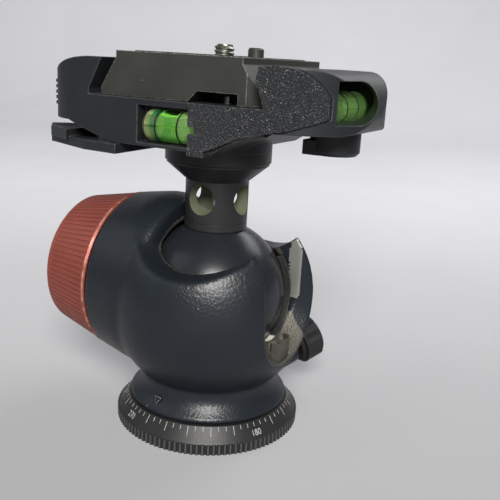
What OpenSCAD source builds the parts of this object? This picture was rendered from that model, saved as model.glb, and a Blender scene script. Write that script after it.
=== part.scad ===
// Tripod ball head with a quick-release platform, millimetres, +Z up.
// Origin: centre of the base's underside. The lock knob is on the -X side, the
// portrait notch on the +X side, and the platform's long side lies along X.

/* [Base] */
// Diameter of the base disc
base_d = 62; // [58:1:68]
// Height of the knurled band round the base
band_h = 3.4; // [2.5:0.1:4.5]
// Height of the base disc at its scale cone's top edge
base_h = 7.9; // [7:0.1:9]
// Diameter of the scale cone's top edge
base_top_d = 54.2; // [52:0.2:56]
// Number of knurls round the base
base_knurls = 110; // [80:1:130]
// Diameter of the tapped hole for the tripod's 3/8 inch screw
socket_d = 8; // [7.8:0.1:8.4]
// Depth of that hole
socket_depth = 10; // [8:0.5:11]
// Diameter of the part of the spindle that is pressed into the base
spindle_foot_d = 14; // [13:0.5:16]
// Diameter of the spindle that the housing turns on
spindle_d = 20; // [18:0.5:22]

/* [Housing] */
// Radius of the housing's ball
shell_r = 34.3; // [33.5:0.1:35.5]
// Height of the centre of the housing's ball
shell_z = 42.6; // [42:0.1:43.2]
// Radius of the housing's foot
skirt_r = 26.7; // [26:0.1:27]
// Radius of the knob barrel where it leaves the ball
barrel_r = 32.6; // [31.5:0.1:33]
// Radius of the knob barrel's open end
barrel_end_r = 28; // [27.5:0.1:28.5]
// Distance from the ball's centre to the knob barrel's open end
barrel_reach = 31.3; // [31:0.1:32]
// Distance from the ball's centre to the hood's front face
hood_reach = 10.5; // [10.4:0.1:12]
// Radius of the saddle cut across the top
saddle_r = 26; // [25:0.5:27]
// Height of the saddle's lowest line
saddle_z = 56; // [55:0.5:58]
// Distance of the saddle's axis towards the notch
saddle_x = 5; // [4:0.5:6]
// Radius of the portrait notch
notch_r = 14.5; // [14:0.1:15]
// Radius of the notch's flare at the ball's skin
notch_flare_r = 21.6; // [21:0.1:22]

/* [Ball and neck] */
// Diameter of the ball
ball_d = 48; // [47:0.2:48.4]
// Height of the ball's centre
ball_z = 44; // [43.5:0.1:44.5]
// Thickness of the liner and the cup round the ball
liner_t = 2; // [1.8:0.1:2.2]
// Diameter of the neck
neck_d = 20.4; // [19:0.2:20.6]
// Diameter of the cross holes in the neck
cross_d = 9.6; // [8:0.2:10]
// Height of the cross holes
cross_z = 76; // [75.5:0.1:76.4]
// Diameter of the neck's flange
flange_d = 34; // [32:0.5:35]
// Height of the flange's top face
flange_z = 91.5; // [91:0.1:92]

/* [Lock knob] */
// Upward lean of the lock knob's axis, in degrees
lock_lean = 2; // [0:0.5:3]
// Radius of the red ring at its large end
ring_r = 27.6; // [27:0.1:28]
// Radius of the red ring at its small end
ring_end_r = 23.3; // [22.5:0.1:24]
// Length of the red ring
ring_w = 20.2; // [18:0.2:21]
// Number of ribs round the red ring
ring_ribs = 92; // [60:1:100]
// Diameter of the lock screw
lock_screw_d = 12; // [11:0.5:13]
// Diameter of the clamp shoe
shoe_d = 24; // [22:0.5:25]

/* [Pan knob] */
// Direction of the pan knob, in degrees from +X towards +Y
pan_dir = 60; // [50:1:70]
// Upward slope of the pan knob's axis, in degrees
pan_slope = 19; // [18:0.5:20]
// Diameter of the pan knob
pan_knob_d = 17; // [16:0.5:18]
// Length of the pan knob
pan_knob_w = 9; // [8:0.5:11]
// Diameter of the pan screw
pan_screw_d = 6; // [5:0.5:6.5]

/* [Platform] */
// Reach of the platform to the left of the neck's axis
left_reach = 52; // [51:0.5:53]
// Reach of the platform to the right of the neck's axis
right_reach = 51.4; // [51:0.1:51.8]
// Width of the platform
platform_w = 56; // [56:0.5:58]
// Radius of the platform's left corners in plan
corner_r = 19; // [17:0.5:20]
// Radius of the platform's right corners in plan
nose_r = 26; // [24:0.5:27]
// Height of the platform's top
platform_z = 117.6; // [117.4:0.1:118]
// Height of the platform's underside
under_z = 93.3; // [93.2:0.1:93.8]
// Height of the pocket's floor
floor_z = 106.8; // [106.6:0.1:107.2]
// Half width of the pocket at its floor
pocket_half = 29.3; // [29:0.1:29.5]
// Half width of the pocket at its top
mouth_half = 23.8; // [23.5:0.1:24.5]
// Radius of a level vial
vial_r = 4.5; // [4.2:0.1:4.6]
// Length of the level vial at the front
front_vial_w = 18.4; // [16:0.2:18.6]
// Length of the level vial at the end
end_vial_w = 27; // [25:0.2:27.4]

/* [Plate] */
// Width of the quick-release plate's top
plate_w = 42; // [41:0.1:42.4]
// Length of the quick-release plate
plate_l = 52.5; // [51:0.5:53]
// Height of the plate's top
plate_z = 119.7; // [119.5:0.1:120]
// Thickness of the plate's top rim
rim_t = 1.9; // [1.6:0.1:2]
// Half width of the plate's dovetail foot
foot_half = 26.4; // [26:0.1:26.5]
// Diameter of the camera screw (1/4 inch)
camera_screw_d = 6.35; // [6.2:0.05:6.5]
// Height of the camera screw above the plate
camera_screw_h = 3.6; // [3:0.2:5]
// Diameter of the anti-twist pin
pin_d = 4.8; // [4:0.2:5]
// Height of the anti-twist pin above the plate
pin_h = 2.9; // [2.4:0.1:3]
// Distance from the camera screw to the anti-twist pin
pin_x = 11; // [10.5:0.1:12]

/* [Hidden] */
$fn = 96;
// Small overrun of a cut past the face that it opens
eps = 0.5;
// Radial gap of a turning or sliding fit
fit = 0.06;
// Gap between curved faces of pieces that move on one another
gap = 0.3;
// Gap between flat faces of pieces that move on one another
flat = 0.1;

base_r = base_d / 2;
knurl_deep = 0.45;
ball_r = ball_d / 2;
cavity_r = ball_r + gap + liner_t;
mouth_r = ball_r + 1.2;
mouth_rim = 3;
neck_r = neck_d / 2;
flange_r = flange_d / 2;
far = 60;

// Heights inside the housing's foot
foot_z = base_h + gap;
glide_t = 1.1;
glide_in = 20;
glide_out = 24;
ledge_z = foot_z + 4.8;
washer_r = 13;
washer_t = 0.8;
washer_bore_r = washer_r + 1;
spindle_top = ledge_z + 2.3;
seat_z = ledge_z + 2.5;
seat_t = 1.2;
seat_r = 15.2;
spring_gap = 0.05;
disc_t = 0.4;
disc_rise = 0.45;
disc_in = 4.5;
disc_out = 10;
cup_flat_z = seat_z + seat_t + 2 * (disc_t + disc_rise);
cup_top_z = ball_z - 13;
stop_screw_w = 7.6;

// Lock mechanism, as distances from the ball's centre along the lock axis
shoe_gap = 1;
shoe_end = 29;
plunger_r = 3.2;
plunger_travel = 0.6;
plunger_back = 30.6;
friction_spring_gap = 0.4;
dial_stem_in = 6.5;
hub_nose = 39.5;
hub_nose_r = 12;
bushing_start = 30.2;
lock_bushing_r = 9;
ring_start = barrel_reach + 1;
ring_in_r = 20;
hub_start = ring_start + 0.4;
hub_end = ring_start + ring_w - 3;
hub_hollow_r = hub_nose_r + 1.2;
hub_hollow_end = hub_nose + 1.6;
face_t = 2.4;
lock_screw_bore_r = plunger_r + gap;
lock_screw_end = hub_end - 0.6;
friction_r = 9;
friction_t = 5;
friction_stem_r = 3;

// Pan mechanism, as distances from the spindle's face along the pan axis
pan_z = 9.9;
pan_gap = 0.9;
pad_nose_r = 1.4;
pad_r = 3.2;
pad_step = 5.5;
pad_end = 10.5;
pan_bushing_r = 4.2;
pan_knob_start = 26.4;
pan_boss_r = 6.4;
pan_boss_end = 25.4;

// Platform
half_w = platform_w / 2;
crown_r = 40;
crown_x = -28;
right_arc_r = 12;
right_low_r = 5;
end_low_z = 100.6;
cover_x = 6.4;
cover_proud = 1;
cover_t = 4;
cover_round_t = 2.5;
cover_tip_y = -19;
jaw_half = 16;
jaw_outer = 36;
jaw_travel = 2.6;
wall_gap = 0.2;
fixed_jaw_half = 15;
lever_x = -24;
lever_y = 10;
lever_top = under_z - flat;
lever_t = 2.9;
lever_angle = 48;
cam_r = 5;
cam_offset = 3.5;
cam_lead = 77;
cam_z = 100.2;
cam_t = 3.8;
chamber_z = 100;
chamber_top = 104.4;
tail_t = 3;
tail_x = lever_x - cam_r - cam_offset * cos(cam_lead) - 0.4;
front_vial_x = -0.9;
front_vial_y = -(half_w - 3.6);
front_vial_z = 99.4;
window_x = -11.4;
end_vial_x = 39;
end_vial_z = 107.2;
window_turn = 65;
window_near = 33.7;
window_end = 46;
window_low = 103.6;
window_high = 115;
window_back = end_vial_x - 1.5;
window_far_y = 14.3;
fluid_wall = 0.7;
ring_t = 0.5;
ring_proud = 0.12;
catch_x = 39;
catch_r = 7.4;
catch_top = end_low_z - flat;
catch_h = 6.8;
catch_screw_top = 101.8;
button_half = 19;
button_low = 102;
button_high = 110.4;
button_proud = 0.9;
button_t = 3;
button_travel = 1.5;
trigger_x = 12.7;
trigger_r = 1.25;
trigger_h = 1.9;

// Plate
plate_y = 0.7;
plate_low = floor_z + flat;
foot_rise = 2.3;
plate_front = plate_y - plate_l / 2;
trigger_y = plate_front + 7.55;
pad_t = 0.25;
shank_r = camera_screw_d / 2 - 0.5;
pin_neck_r = pin_d / 2 - 0.5;

// ---- Shared forms -------------------------------------------------------

// Puts what is drawn along +Z on the lock axis, from the ball's centre outwards
module on_lock_axis() {
    translate([0, 0, ball_z]) rotate([0, lock_lean - 90, 0]) children();
}

// Puts what is drawn along +Z on the pan axis, from the spindle's face outwards
module on_pan_axis() {
    rotate([0, 0, pan_dir]) translate([spindle_d / 2, 0, pan_z])
        rotate([0, 90 - pan_slope, 0]) children();
}

// A round bar from one height to another
module bar(r, from, to) {
    translate([0, 0, from]) cylinder(r = r, h = to - from);
}

// A round tube from one height to another
module tube(r_out, r_in, from, to) {
    difference() {
        bar(r_out, from, to);
        bar(r_in, from - eps, to + eps);
    }
}

// A box given by its low and high corners
module block(low, high) {
    translate(low) cube(high - low);
}

// A toothed outline: count ribs between an inner and an outer radius
module ribbed_outline(r_out, deep, count) {
    step = 360 / count;
    polygon([for (i = [0 : count - 1], part = [0, 0.25, 0.5, 0.75])
        let (r = part < 0.5 ? r_out : r_out - deep, a = (i + part) * step)
        [r * cos(a), r * sin(a)]]);
}

// A rectangle with round corners, from x_low to x_high and half_y either side
module round_rect(x_low, x_high, half_y, r) {
    translate([x_low + r, -half_y]) square([x_high - x_low - 2 * r, 2 * half_y]);
    translate([x_low, r - half_y]) square([x_high - x_low, 2 * (half_y - r)]);
    for (x = [x_low + r, x_high - r], y = [r - half_y, half_y - r])
        translate([x, y]) circle(r = r);
}

// A closed stack of turned beads that stands for a small coil spring
module spring_sleeve(r_out, wire, from, to) {
    tube(r_out, r_out - wire, from, to);
}

// A cheese-head screw pointing down, its head's top at height 0
module cap_screw(shank_r, head_r, head_h, length) {
    difference() {
        bar(head_r, -head_h, 0);
        translate([0, 0, -head_h / 2]) cylinder(r = head_r * 0.55, h = head_h, $fn = 6);
    }
    bar(shank_r, -length, -head_h);
}

// ---- Base ---------------------------------------------------------------

// Knurled disc with the conical dial, which screws down on the tripod
module base_disc() {
    color("#16181b") difference() {
        union() {
            linear_extrude(height = band_h) ribbed_outline(base_r, knurl_deep, base_knurls);
            translate([0, 0, band_h])
                cylinder(r1 = base_r - knurl_deep, r2 = base_top_d / 2, h = base_h - band_h);
        }
        bar(spindle_foot_d / 2, -eps, base_h + eps);
        // shallow recess in the underside, inside the rim that the tripod bears on
        difference() {
            bar(base_r - 5, -eps, 0.8);
            bar(spindle_foot_d / 2 + 3, -2 * eps, base_h);
        }
    }
}

// Steel spindle: tapped foot in the base, journal for the housing, brake groove
module pan_spindle() {
    r = spindle_d / 2;
    foot_r = spindle_foot_d / 2;
    groove = 1.1;
    groove_half = 1.6;
    color("#8a8c8e") difference() {
        rotate_extrude() polygon([
            [0, 0], [foot_r, 0], [foot_r, base_h], [r, base_h],
            [r, pan_z - groove_half], [r - groove, pan_z], [r, pan_z + groove_half],
            [r, spindle_top - 0.5], [r - 0.5, spindle_top], [0, spindle_top]
        ]);
        bar(socket_d / 2, -eps, socket_depth);
        tube(r + eps, r - 0.6, spindle_top - 1.4, spindle_top - 0.6);
    }
}

// Washer that keeps the housing down on the base
module retaining_washer() {
    color("#b08d3c")
        tube(washer_r, spindle_d / 2, ledge_z + flat, ledge_z + flat + washer_t);
}

// Open ring in the spindle's groove above the washer
module retaining_ring() {
    color("#55585b") difference() {
        tube(spindle_d / 2 + 1.6, spindle_d / 2 - 0.6 + fit, spindle_top - 1.3, spindle_top - 0.7);
        translate([0, 0, spindle_top - 1]) rotate([0, 0, -90]) translate([0, -3, -2])
            cube([washer_r, 6, 4]);
    }
}

// Low-friction ring between the base and the housing
module glide_ring() {
    color("#3a2a20") tube(glide_out, glide_in, base_h, base_h + glide_t);
}

// ---- Housing ------------------------------------------------------------

// Knob barrel of the housing with the hood's rounded front edge, along +Z
module barrel() {
    lip_r = barrel_r - 5;
    round_len = 9;
    steps = 8;
    r_at = function (s) barrel_r - (barrel_r - barrel_end_r) * (s - 8) / (barrel_reach - 8);
    top_s = hood_reach + round_len;
    rotate_extrude() polygon(concat(
        [[0, hood_reach], [lip_r, hood_reach]],
        [for (i = [1 : steps]) let (a = 90 * i / steps)
            [lip_r + (r_at(top_s) - lip_r) * sin(a), top_s - round_len * cos(a)]],
        [[barrel_end_r, barrel_reach], [0, barrel_reach]]
    ));
}

// Foot of the housing, drawn in to meet the ball
module skirt() {
    waist_z = 17.5;
    waist_r = sqrt(pow(shell_r, 2) - pow(shell_z - waist_z, 2)) - 0.2;
    steps = 8;
    bow = 1.2;
    rotate_extrude() polygon(concat(
        [[0, foot_z], [skirt_r - 0.5, foot_z], [skirt_r, foot_z + 0.5]],
        [for (i = [0 : steps]) let (t = i / steps)
            [skirt_r + (waist_r - skirt_r) * t - bow * sin(180 * t),
             foot_z + 1.2 + (waist_z - foot_z - 1.2) * t]],
        [[waist_r - 4, waist_z + 4], [0, waist_z + 4]]
    ));
}

// Outside of the housing: ball with the saddle cut, barrel, foot and pan boss
module housing_skin() {
    difference() {
        translate([0, 0, shell_z]) sphere(r = shell_r);
        translate([saddle_x, 0, saddle_z + saddle_r]) rotate([90, 0, 0])
            cylinder(r = saddle_r, h = 2 * far, center = true);
        bar(far, shell_z - 2 * shell_r, foot_z);
        on_lock_axis() bar(far, barrel_reach, far);
        block([saddle_x, -far, saddle_z + saddle_r], [far, far, far + shell_z]);
    }
    on_lock_axis() barrel();
    skirt();
    difference() {
        on_pan_axis() bar(pan_boss_r, pad_end, pan_boss_end);
        bar(far, 0, foot_z + 0.6);
    }
}

// Slot that the neck drops into, with a round bottom, open towards +X and up
module notch_slot(r) {
    translate([0, 0, ball_z]) rotate([0, 90, 0]) cylinder(r = r, h = far);
    block([0, -r, ball_z], [far, r, ball_z + far]);
}

// Flare at the slot's outer edge: a cone below its axis, a wedge above it
module notch_flare() {
    axis_z = ball_z - 2;
    flare_in_r = 12.5;
    flare_x = 22;
    flare_end = 34.5;
    translate([flare_x, 0, axis_z]) rotate([0, 90, 0])
        cylinder(r1 = flare_in_r, r2 = notch_flare_r, h = flare_end - flare_x);
    translate([0, 0, axis_z]) linear_extrude(height = far)
        polygon([[flare_x, -flare_in_r], [flare_end, -notch_flare_r],
                 [flare_end, notch_flare_r], [flare_x, flare_in_r]]);
}

// Room next to the housing's mouth, where the ball's liner stops short of the rim
module mouth_room(rim) {
    translate([saddle_x, 0, saddle_z + saddle_r]) rotate([90, 0, 0])
        cylinder(r = saddle_r + rim, h = 2 * far, center = true);
    block([saddle_x, -far, saddle_z], [far, far, far + shell_z]);
    difference() {
        bar(far, ball_z + 12, ball_z + far);
        on_lock_axis() bar(2 * far, hood_reach + rim, 2 * far);
    }
}

// Cast housing: holds the ball, its seats, the lock and the pan brake
module housing() {
    color("#20262e") difference() {
        union() {
            housing_skin();
            on_lock_axis() bar(hub_nose_r, 20, hub_nose);
        }
        // ball cavity and the way in for the neck
        translate([0, 0, ball_z]) sphere(r = mouth_r);
        difference() {
            translate([0, 0, ball_z]) sphere(r = cavity_r);
            mouth_room(mouth_rim);
        }
        bar(neck_r + gap, ball_z, far + ball_z);
        block([-neck_r - gap, -far, saddle_z + 5], [0, far, far + ball_z]);
        notch_slot(notch_r);
        notch_flare();
        // seats under the ball
        bar(seat_r, seat_z, ball_z - cavity_r * 0.7);
        bar(washer_bore_r, ledge_z, ball_z - cavity_r * 0.7);
        bar(spindle_d / 2 + fit, foot_z - eps, ledge_z + eps);
        tube(glide_out + gap, glide_in - gap, foot_z - eps, base_h + glide_t + flat);
        // lock mechanism
        on_lock_axis() {
            bar(shoe_d / 2 + fit, 10, bushing_start - 1);
            bar(lock_screw_d / 2 + 1, 20, hub_nose + eps);
            bar(lock_bushing_r, bushing_start, hub_nose + eps);
        }
        // pan brake
        on_pan_axis() {
            bar(pad_nose_r + fit, -3, pad_end);
            bar(pad_r + fit, pad_step - 0.6, pad_end + 1.5);
            bar(pan_bushing_r, pad_end + 1.5, pan_boss_end + eps);
        }
        // seat for the notch stop
        stop_block();
        stop_screw_place() bar(1.1, -stop_screw_w, 0);
    }
}

// Disc that carries the springs under the ball cup
module spring_seat() {
    color("#7d8083") tube(seat_r - 0.1, 3, seat_z, seat_z + seat_t);
}

// Pair of conical disc springs, drawn wide edge to wide edge
module disc_springs() {
    middle = seat_z + seat_t + disc_t + disc_rise;
    color("#9a9c9e") {
        for (flip = [0, 1]) translate([0, 0, middle]) mirror([0, 0, flip])
            rotate_extrude() polygon([
                [disc_out, spring_gap / 2], [disc_out, spring_gap / 2 + disc_t * 0.6],
                [disc_in, disc_t + disc_rise - spring_gap], [disc_in, disc_rise]
            ]);
    }
}

// Plastic cup that the ball rests in
module ball_cup() {
    color("#c9c5b4") difference() {
        intersection() {
            translate([0, 0, ball_z]) sphere(r = cavity_r - fit);
            bar(cavity_r, cup_flat_z, cup_top_z);
        }
        translate([0, 0, ball_z]) sphere(r = ball_r + gap);
        notch_slot(notch_r - 1);
        on_lock_axis() bar(shoe_d / 2 + 0.5, 0, far);
        bar(3, 0, ball_z);
    }
}

// Plastic liner round the upper half of the ball; its cut ends show in the notch
module seat_liner() {
    color("#9aa09c") difference() {
        translate([0, 0, ball_z]) sphere(r = cavity_r - fit);
        translate([0, 0, ball_z]) sphere(r = ball_r + gap);
        bar(far, -eps, cup_top_z + 0.2);
        mouth_room(mouth_rim + fit);
        bar(neck_r + gap + 1, ball_z, far + ball_z);
        notch_slot(notch_r - 1);
        on_lock_axis() bar(shoe_d / 2 + 0.5, 0, far);
    }
}

// The stop's outline in the floor of the notch
module stop_block() {
    x_low = cavity_r - 3.3;
    block([x_low, -5, ball_z - notch_r - 5.3], [x_low + 4.2, 5, ball_z - notch_r + 3]);
}

// Metal stop in the floor of the notch that the neck comes down on
module notch_stop() {
    color("#6f7370") difference() {
        stop_block();
        translate([0, 0, ball_z]) rotate([0, 90, 0]) cylinder(r = neck_r + 2.2, h = far);
        stop_screw_place() bar(1.1, -far, far);
        stop_screw_place() bar(2, -1.2, far);
    }
}

// Where the stop's two screws go
module stop_screw_place() {
    for (side = [-1, 1]) translate([cavity_r - 1.2, side * 3, ball_z - notch_r + 1.2]) children();
}

// Two small screws in the notch stop
module stop_screws() {
    color("#a8aaac") stop_screw_place() translate([0, 0, -0.1]) cap_screw(1.1, 1.9, 1, stop_screw_w - 0.3);
}

// Brass nut of the lock screw, pressed into the housing's nose
module lock_bushing() {
    color("#b8963e") on_lock_axis()
        tube(lock_bushing_r, lock_screw_d / 2 + fit, bushing_start, hub_nose);
}

// Brass nut of the pan screw, pressed into the pan boss
module pan_bushing() {
    color("#b8963e") on_pan_axis()
        tube(pan_bushing_r, pan_screw_d / 2 + fit, pad_end + 1.5, pan_boss_end);
}

// ---- Lock knob ----------------------------------------------------------

// Shoe with a hollow face that the lock screw presses on the ball
module clamp_shoe() {
    color("#d8d4c4") on_lock_axis() difference() {
        bar(shoe_d / 2, 18, shoe_end);
        translate([0, 0, 0]) sphere(r = ball_r + shoe_gap);
        bar(plunger_r + 0.3, 10, shoe_end + eps);
    }
}

// Red ribbed ring of the lock knob
module lock_ring() {
    deep = 0.55;
    edge = 0.9;
    taper = (ring_r - ring_end_r) / ring_w;
    color("#a3483e") on_lock_axis() difference() {
        translate([0, 0, ring_start]) union() {
            cylinder(r1 = ring_r - edge * 0.6, r2 = ring_r, h = edge);
            translate([0, 0, edge])
                cylinder(r1 = ring_r - edge * taper, r2 = ring_end_r, h = ring_w - 2 * edge);
            translate([0, 0, ring_w - edge])
                cylinder(r1 = ring_end_r - 0.1, r2 = ring_end_r - edge, h = edge);
        }
        bar(ring_in_r, ring_start - eps, ring_start + ring_w + eps);
        // straight grooves that leave the ribs between them
        for (i = [0 : ring_ribs - 1]) rotate([0, 0, i * 360 / ring_ribs])
            translate([ring_r - deep - 0.15, 0, ring_start + 1.6])
                rotate([0, -atan(taper), 0])
                    block([0, -0.42, 0], [4, 0.42, ring_w - 3.2]);
    }
}

// Black hub inside the red ring, hollow over the housing's nose
module knob_hub() {
    color("#1b1d20") on_lock_axis() difference() {
        bar(ring_in_r - fit, hub_start, hub_end);
        bar(hub_hollow_r, hub_start - eps, hub_hollow_end);
        bar(lock_screw_d / 2, hub_hollow_end - eps, hub_end + eps);
        hub_screw_place() bar(1.3, hub_end - 6, hub_end + eps);
    }
}

// Where the three screws of the knob's face go, round the lock axis
module hub_screw_place() {
    for (i = [0 : 2]) rotate([0, 0, 120 * i]) translate([15, 0, 0]) children();
}

// Hollow screw that the lock knob turns
module lock_screw() {
    color("#85878a") on_lock_axis() difference() {
        bar(lock_screw_d / 2, shoe_end + spring_gap, lock_screw_end);
        bar(lock_screw_bore_r, shoe_end, lock_screw_end + eps);
    }
}

// Face plate that closes the red ring, with a dished edge
module knob_face() {
    color("#24272b") on_lock_axis() difference() {
        bar(ring_in_r - fit, hub_end, hub_end + face_t);
        bar(friction_stem_r + gap, hub_end - eps, hub_end + face_t + eps);
        hub_screw_place() bar(1.3, hub_end - eps, hub_end + face_t + eps);
        hub_screw_place() bar(2.5, hub_end + face_t - 1.3, hub_end + face_t + eps);
    }
}

// Three screws that hold the face to the hub
module hub_screws() {
    color("#a8aaac") on_lock_axis() hub_screw_place()
        translate([0, 0, hub_end + face_t]) cap_screw(1.3, 2.4, 1.3, 7);
}

// Small ribbed dial that sets the ball's drag
module friction_knob() {
    start = hub_end + face_t + flat;
    color("#2a2d31") on_lock_axis() {
        translate([0, 0, start]) linear_extrude(height = friction_t - 1)
            ribbed_outline(friction_r, 0.5, 36);
        translate([0, 0, start + friction_t - 1])
            cylinder(r1 = friction_r - 0.5, r2 = friction_r - 1.5, h = 1);
        bar(friction_stem_r, lock_screw_end - 6, start);
    }
}

// Plunger that carries the drag spring's force to the shoe
module friction_plunger() {
    color("#d8d4c4") on_lock_axis() {
        bar(plunger_r, ball_r + shoe_gap + plunger_travel, plunger_back);
        bar(1.4, plunger_back, 36);
    }
}

// Drag spring between the plunger and the dial's stem
module friction_spring() {
    color("#b0b2b4") on_lock_axis()
        spring_sleeve(plunger_r - 0.2, 1.2,
                      plunger_back + friction_spring_gap, lock_screw_end - dial_stem_in);
}

// ---- Pan brake ----------------------------------------------------------

// Pad that the pan screw presses on the spindle
module pan_pad() {
    color("#d8d4c4") difference() {
        on_pan_axis() {
            bar(pad_nose_r, -2, pad_end);
            bar(pad_r, pad_step, pad_end);
        }
        bar(spindle_d / 2 + pan_gap, 0, far);
    }
}

// Pan knob with finger scallops
module pan_knob() {
    scallops = 8;
    color("#1b1d20") on_pan_axis() difference() {
        union() {
            bar(pan_knob_d / 2 - 1.5, pan_knob_start, pan_knob_start + 2);
            bar(pan_knob_d / 2, pan_knob_start + 1.5, pan_knob_start + pan_knob_w - 1);
            translate([0, 0, pan_knob_start + pan_knob_w - 1])
                cylinder(r1 = pan_knob_d / 2, r2 = pan_knob_d / 2 - 1, h = 1);
        }
        bar(pan_screw_d / 2, pan_knob_start - eps, pan_knob_start + pan_knob_w - 2.5);
        for (i = [0 : scallops - 1]) rotate([0, 0, (i + 0.5) * 360 / scallops])
            translate([pan_knob_d / 2 + 1.6, 0, pan_knob_start + 2.5])
                cylinder(r = 2.6, h = pan_knob_w);
    }
}

// Screw that the pan knob turns
module pan_screw() {
    color("#85878a") on_pan_axis()
        bar(pan_screw_d / 2, pad_end + spring_gap, pan_knob_start + pan_knob_w - 2.5);
}

// ---- Ball and neck ------------------------------------------------------

// Polished ball
module ball() {
    color("#1e2329") translate([0, 0, ball_z]) sphere(r = ball_r);
}

// Foot of the neck, hollowed to sit on the ball
module stem_foot() {
    top = ball_z + ball_r + 0.4;
    low = ball_z + sqrt(pow(ball_r + gap, 2) - pow(neck_r, 2)) - 0.4;
    color("#2b2f35") difference() {
        bar(neck_r, low, top);
        translate([0, 0, ball_z]) sphere(r = ball_r + gap);
        bar(5, low, top + eps);
    }
}

// Neck with its cross holes, cone and flange, one turned piece
module neck() {
    low = ball_z + ball_r + 0.4 + spring_gap;
    cone_low = 81.8;
    cone_high = 87;
    cone_r = flange_r - 0.5;
    color("#22262c") difference() {
        rotate_extrude() polygon([
            [0, low], [neck_r, low], [neck_r, cone_low], [neck_r + 0.6, cone_low + 0.4],
            [cone_r, cone_high], [cone_r, cone_high + 0.5], [flange_r, cone_high + 0.9],
            [flange_r, flange_z], [0, flange_z]
        ]);
        translate([0, 0, cross_z]) for (turn = [0, 90]) rotate([90, 0, turn])
            cylinder(r = cross_d / 2, h = 3 * neck_r, center = true);
        bar(3, cross_z + cross_d / 2 + 1.6, flange_z + eps);
        flange_screw_place() bar(1.5, flange_z - 4.4, flange_z + eps);
    }
}

// Where the flange screws go
module flange_screw_place() {
    for (i = [0 : 2]) rotate([0, 0, 90 + 120 * i]) translate([11.5, 0, 0]) children();
}

// ---- Platform -----------------------------------------------------------

// Side outline of the platform, drawn with height along Y
module side_outline(grow) {
    low_z = under_z - grow;
    difference() {
        translate([-left_reach - grow, low_z])
            square([left_reach + right_reach + 2 * grow, platform_z - low_z + grow]);
        // falling crown on the left
        difference() {
            translate([-left_reach - far, platform_z - crown_r])
                square([left_reach + far + crown_x, 2 * crown_r]);
            translate([crown_x, platform_z - crown_r]) circle(r = crown_r + grow, $fn = 180);
        }
        // rounded left tip
        difference() {
            translate([-left_reach - far, 98]) square([far + 3 - grow, 4.5]);
            translate([-left_reach + 3, 102.5]) circle(r = 4 + grow);
            translate([-left_reach + 3, 97]) square([4, 7]);
        }
        // rising underside on the left
        polygon([[-left_reach - far, low_z - 2], [-21.6, low_z - 2], [-21.6, under_z - grow],
                 [-37.5, 98.5 - grow], [-left_reach - far, 98.5 - grow]]);
        // rounded right end
        difference() {
            translate([right_reach - right_arc_r, platform_z - right_arc_r]) square(far);
            translate([right_reach - right_arc_r, platform_z - right_arc_r])
                circle(r = right_arc_r + grow);
        }
        difference() {
            translate([right_reach - right_low_r, end_low_z - far])
                square([far, far + right_low_r]);
            translate([right_reach - right_low_r, end_low_z + right_low_r])
                circle(r = right_low_r + grow);
        }
        // rising underside on the right
        polygon([[14, low_z - 2], [14, under_z - grow], [23, end_low_z - 1.4 - grow],
                 [30, end_low_z - grow], [far + right_reach, end_low_z - grow],
                 [far + right_reach, low_z - 2]]);
    }
}

// Plan of the platform, with its wider corners on the right; grow widens it all round
module plan_outline(grow) {
    y = half_w + grow;
    intersection() {
        round_rect(-left_reach - grow, right_reach + grow, y, corner_r + grow);
        translate([-2 * far, -far]) square(2 * far);
    }
    intersection() {
        round_rect(-left_reach - grow, right_reach + grow, y, nose_r + grow);
        translate([0, -far]) square(2 * far);
    }
}

// Solid outline of the platform: plan and side outline crossed
module platform_form(grow) {
    intersection() {
        translate([0, 0, under_z - 5]) linear_extrude(height = far) plan_outline(grow);
        rotate([90, 0, 0]) translate([0, 0, -far]) linear_extrude(height = 2 * far)
            side_outline(grow);
    }
}

// Cross-section of the dovetail pocket, height along Y
module pocket_outline() {
    polygon([[-pocket_half, floor_z], [-pocket_half, floor_z + 1.6],
             [-mouth_half, platform_z + 1], [mouth_half + 3, platform_z + 1],
             [mouth_half + 3, platform_z - 3], [pocket_half, floor_z + 1.6],
             [pocket_half, floor_z]]);
}

// Cross-section of the plate, height along Y; grow widens it all round
module plate_outline(grow) {
    top_half = plate_w / 2;
    polygon([[-foot_half - grow, plate_low - grow], [-foot_half - grow, plate_low + foot_rise],
             [-top_half - grow, plate_z - rim_t], [-top_half - grow, plate_z],
             [top_half + grow, plate_z], [top_half + grow, plate_z - rim_t],
             [foot_half + grow, plate_low + foot_rise], [foot_half + grow, plate_low - grow]]);
}

// Draws a cross-section along Y from one place to another
module along_y(from, to) {
    translate([0, to, 0]) rotate([90, 0, 0]) linear_extrude(height = to - from) children();
}

// Outline of the grained nose cover in the front view, height along Y
module nose_outline(grow) {
    tip_x = 44.6;
    difference() {
        translate([cover_x - grow, under_z - 2])
            square([tip_x - cover_x + 2 * grow, platform_z - under_z + 4]);
        // window in front of the plate
        polygon([[-far, floor_z + grow], [pocket_half - grow, floor_z + grow],
                 [mouth_half + 3 - grow, platform_z - 3], [mouth_half + 3.4 - grow, platform_z - 1],
                 [mouth_half + 5.2, platform_z + grow + 0.1], [far, platform_z + 4],
                 [-far, platform_z + 4]]);
        // falling top edge
        difference() {
            translate([33, platform_z - 9.6]) square([far, 20]);
            translate([33, platform_z - 12.4]) circle(r = 12.8 + grow, $fn = 120);
        }
        // rising bottom edge
        polygon([[far, under_z - 3], [11.5, under_z - 3], [11.5, under_z + 0.6 - grow],
                 [15, under_z + 1.8 - grow], [18.5, under_z + 3.6 - grow],
                 [23.7, under_z + 5.8 - grow], [28.8, under_z + 6.9 - grow],
                 [35.3, under_z + 8.2 - grow], [41.6, under_z + 10.4 - grow],
                 [far, under_z + 19 - grow]]);
    }
}

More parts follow.
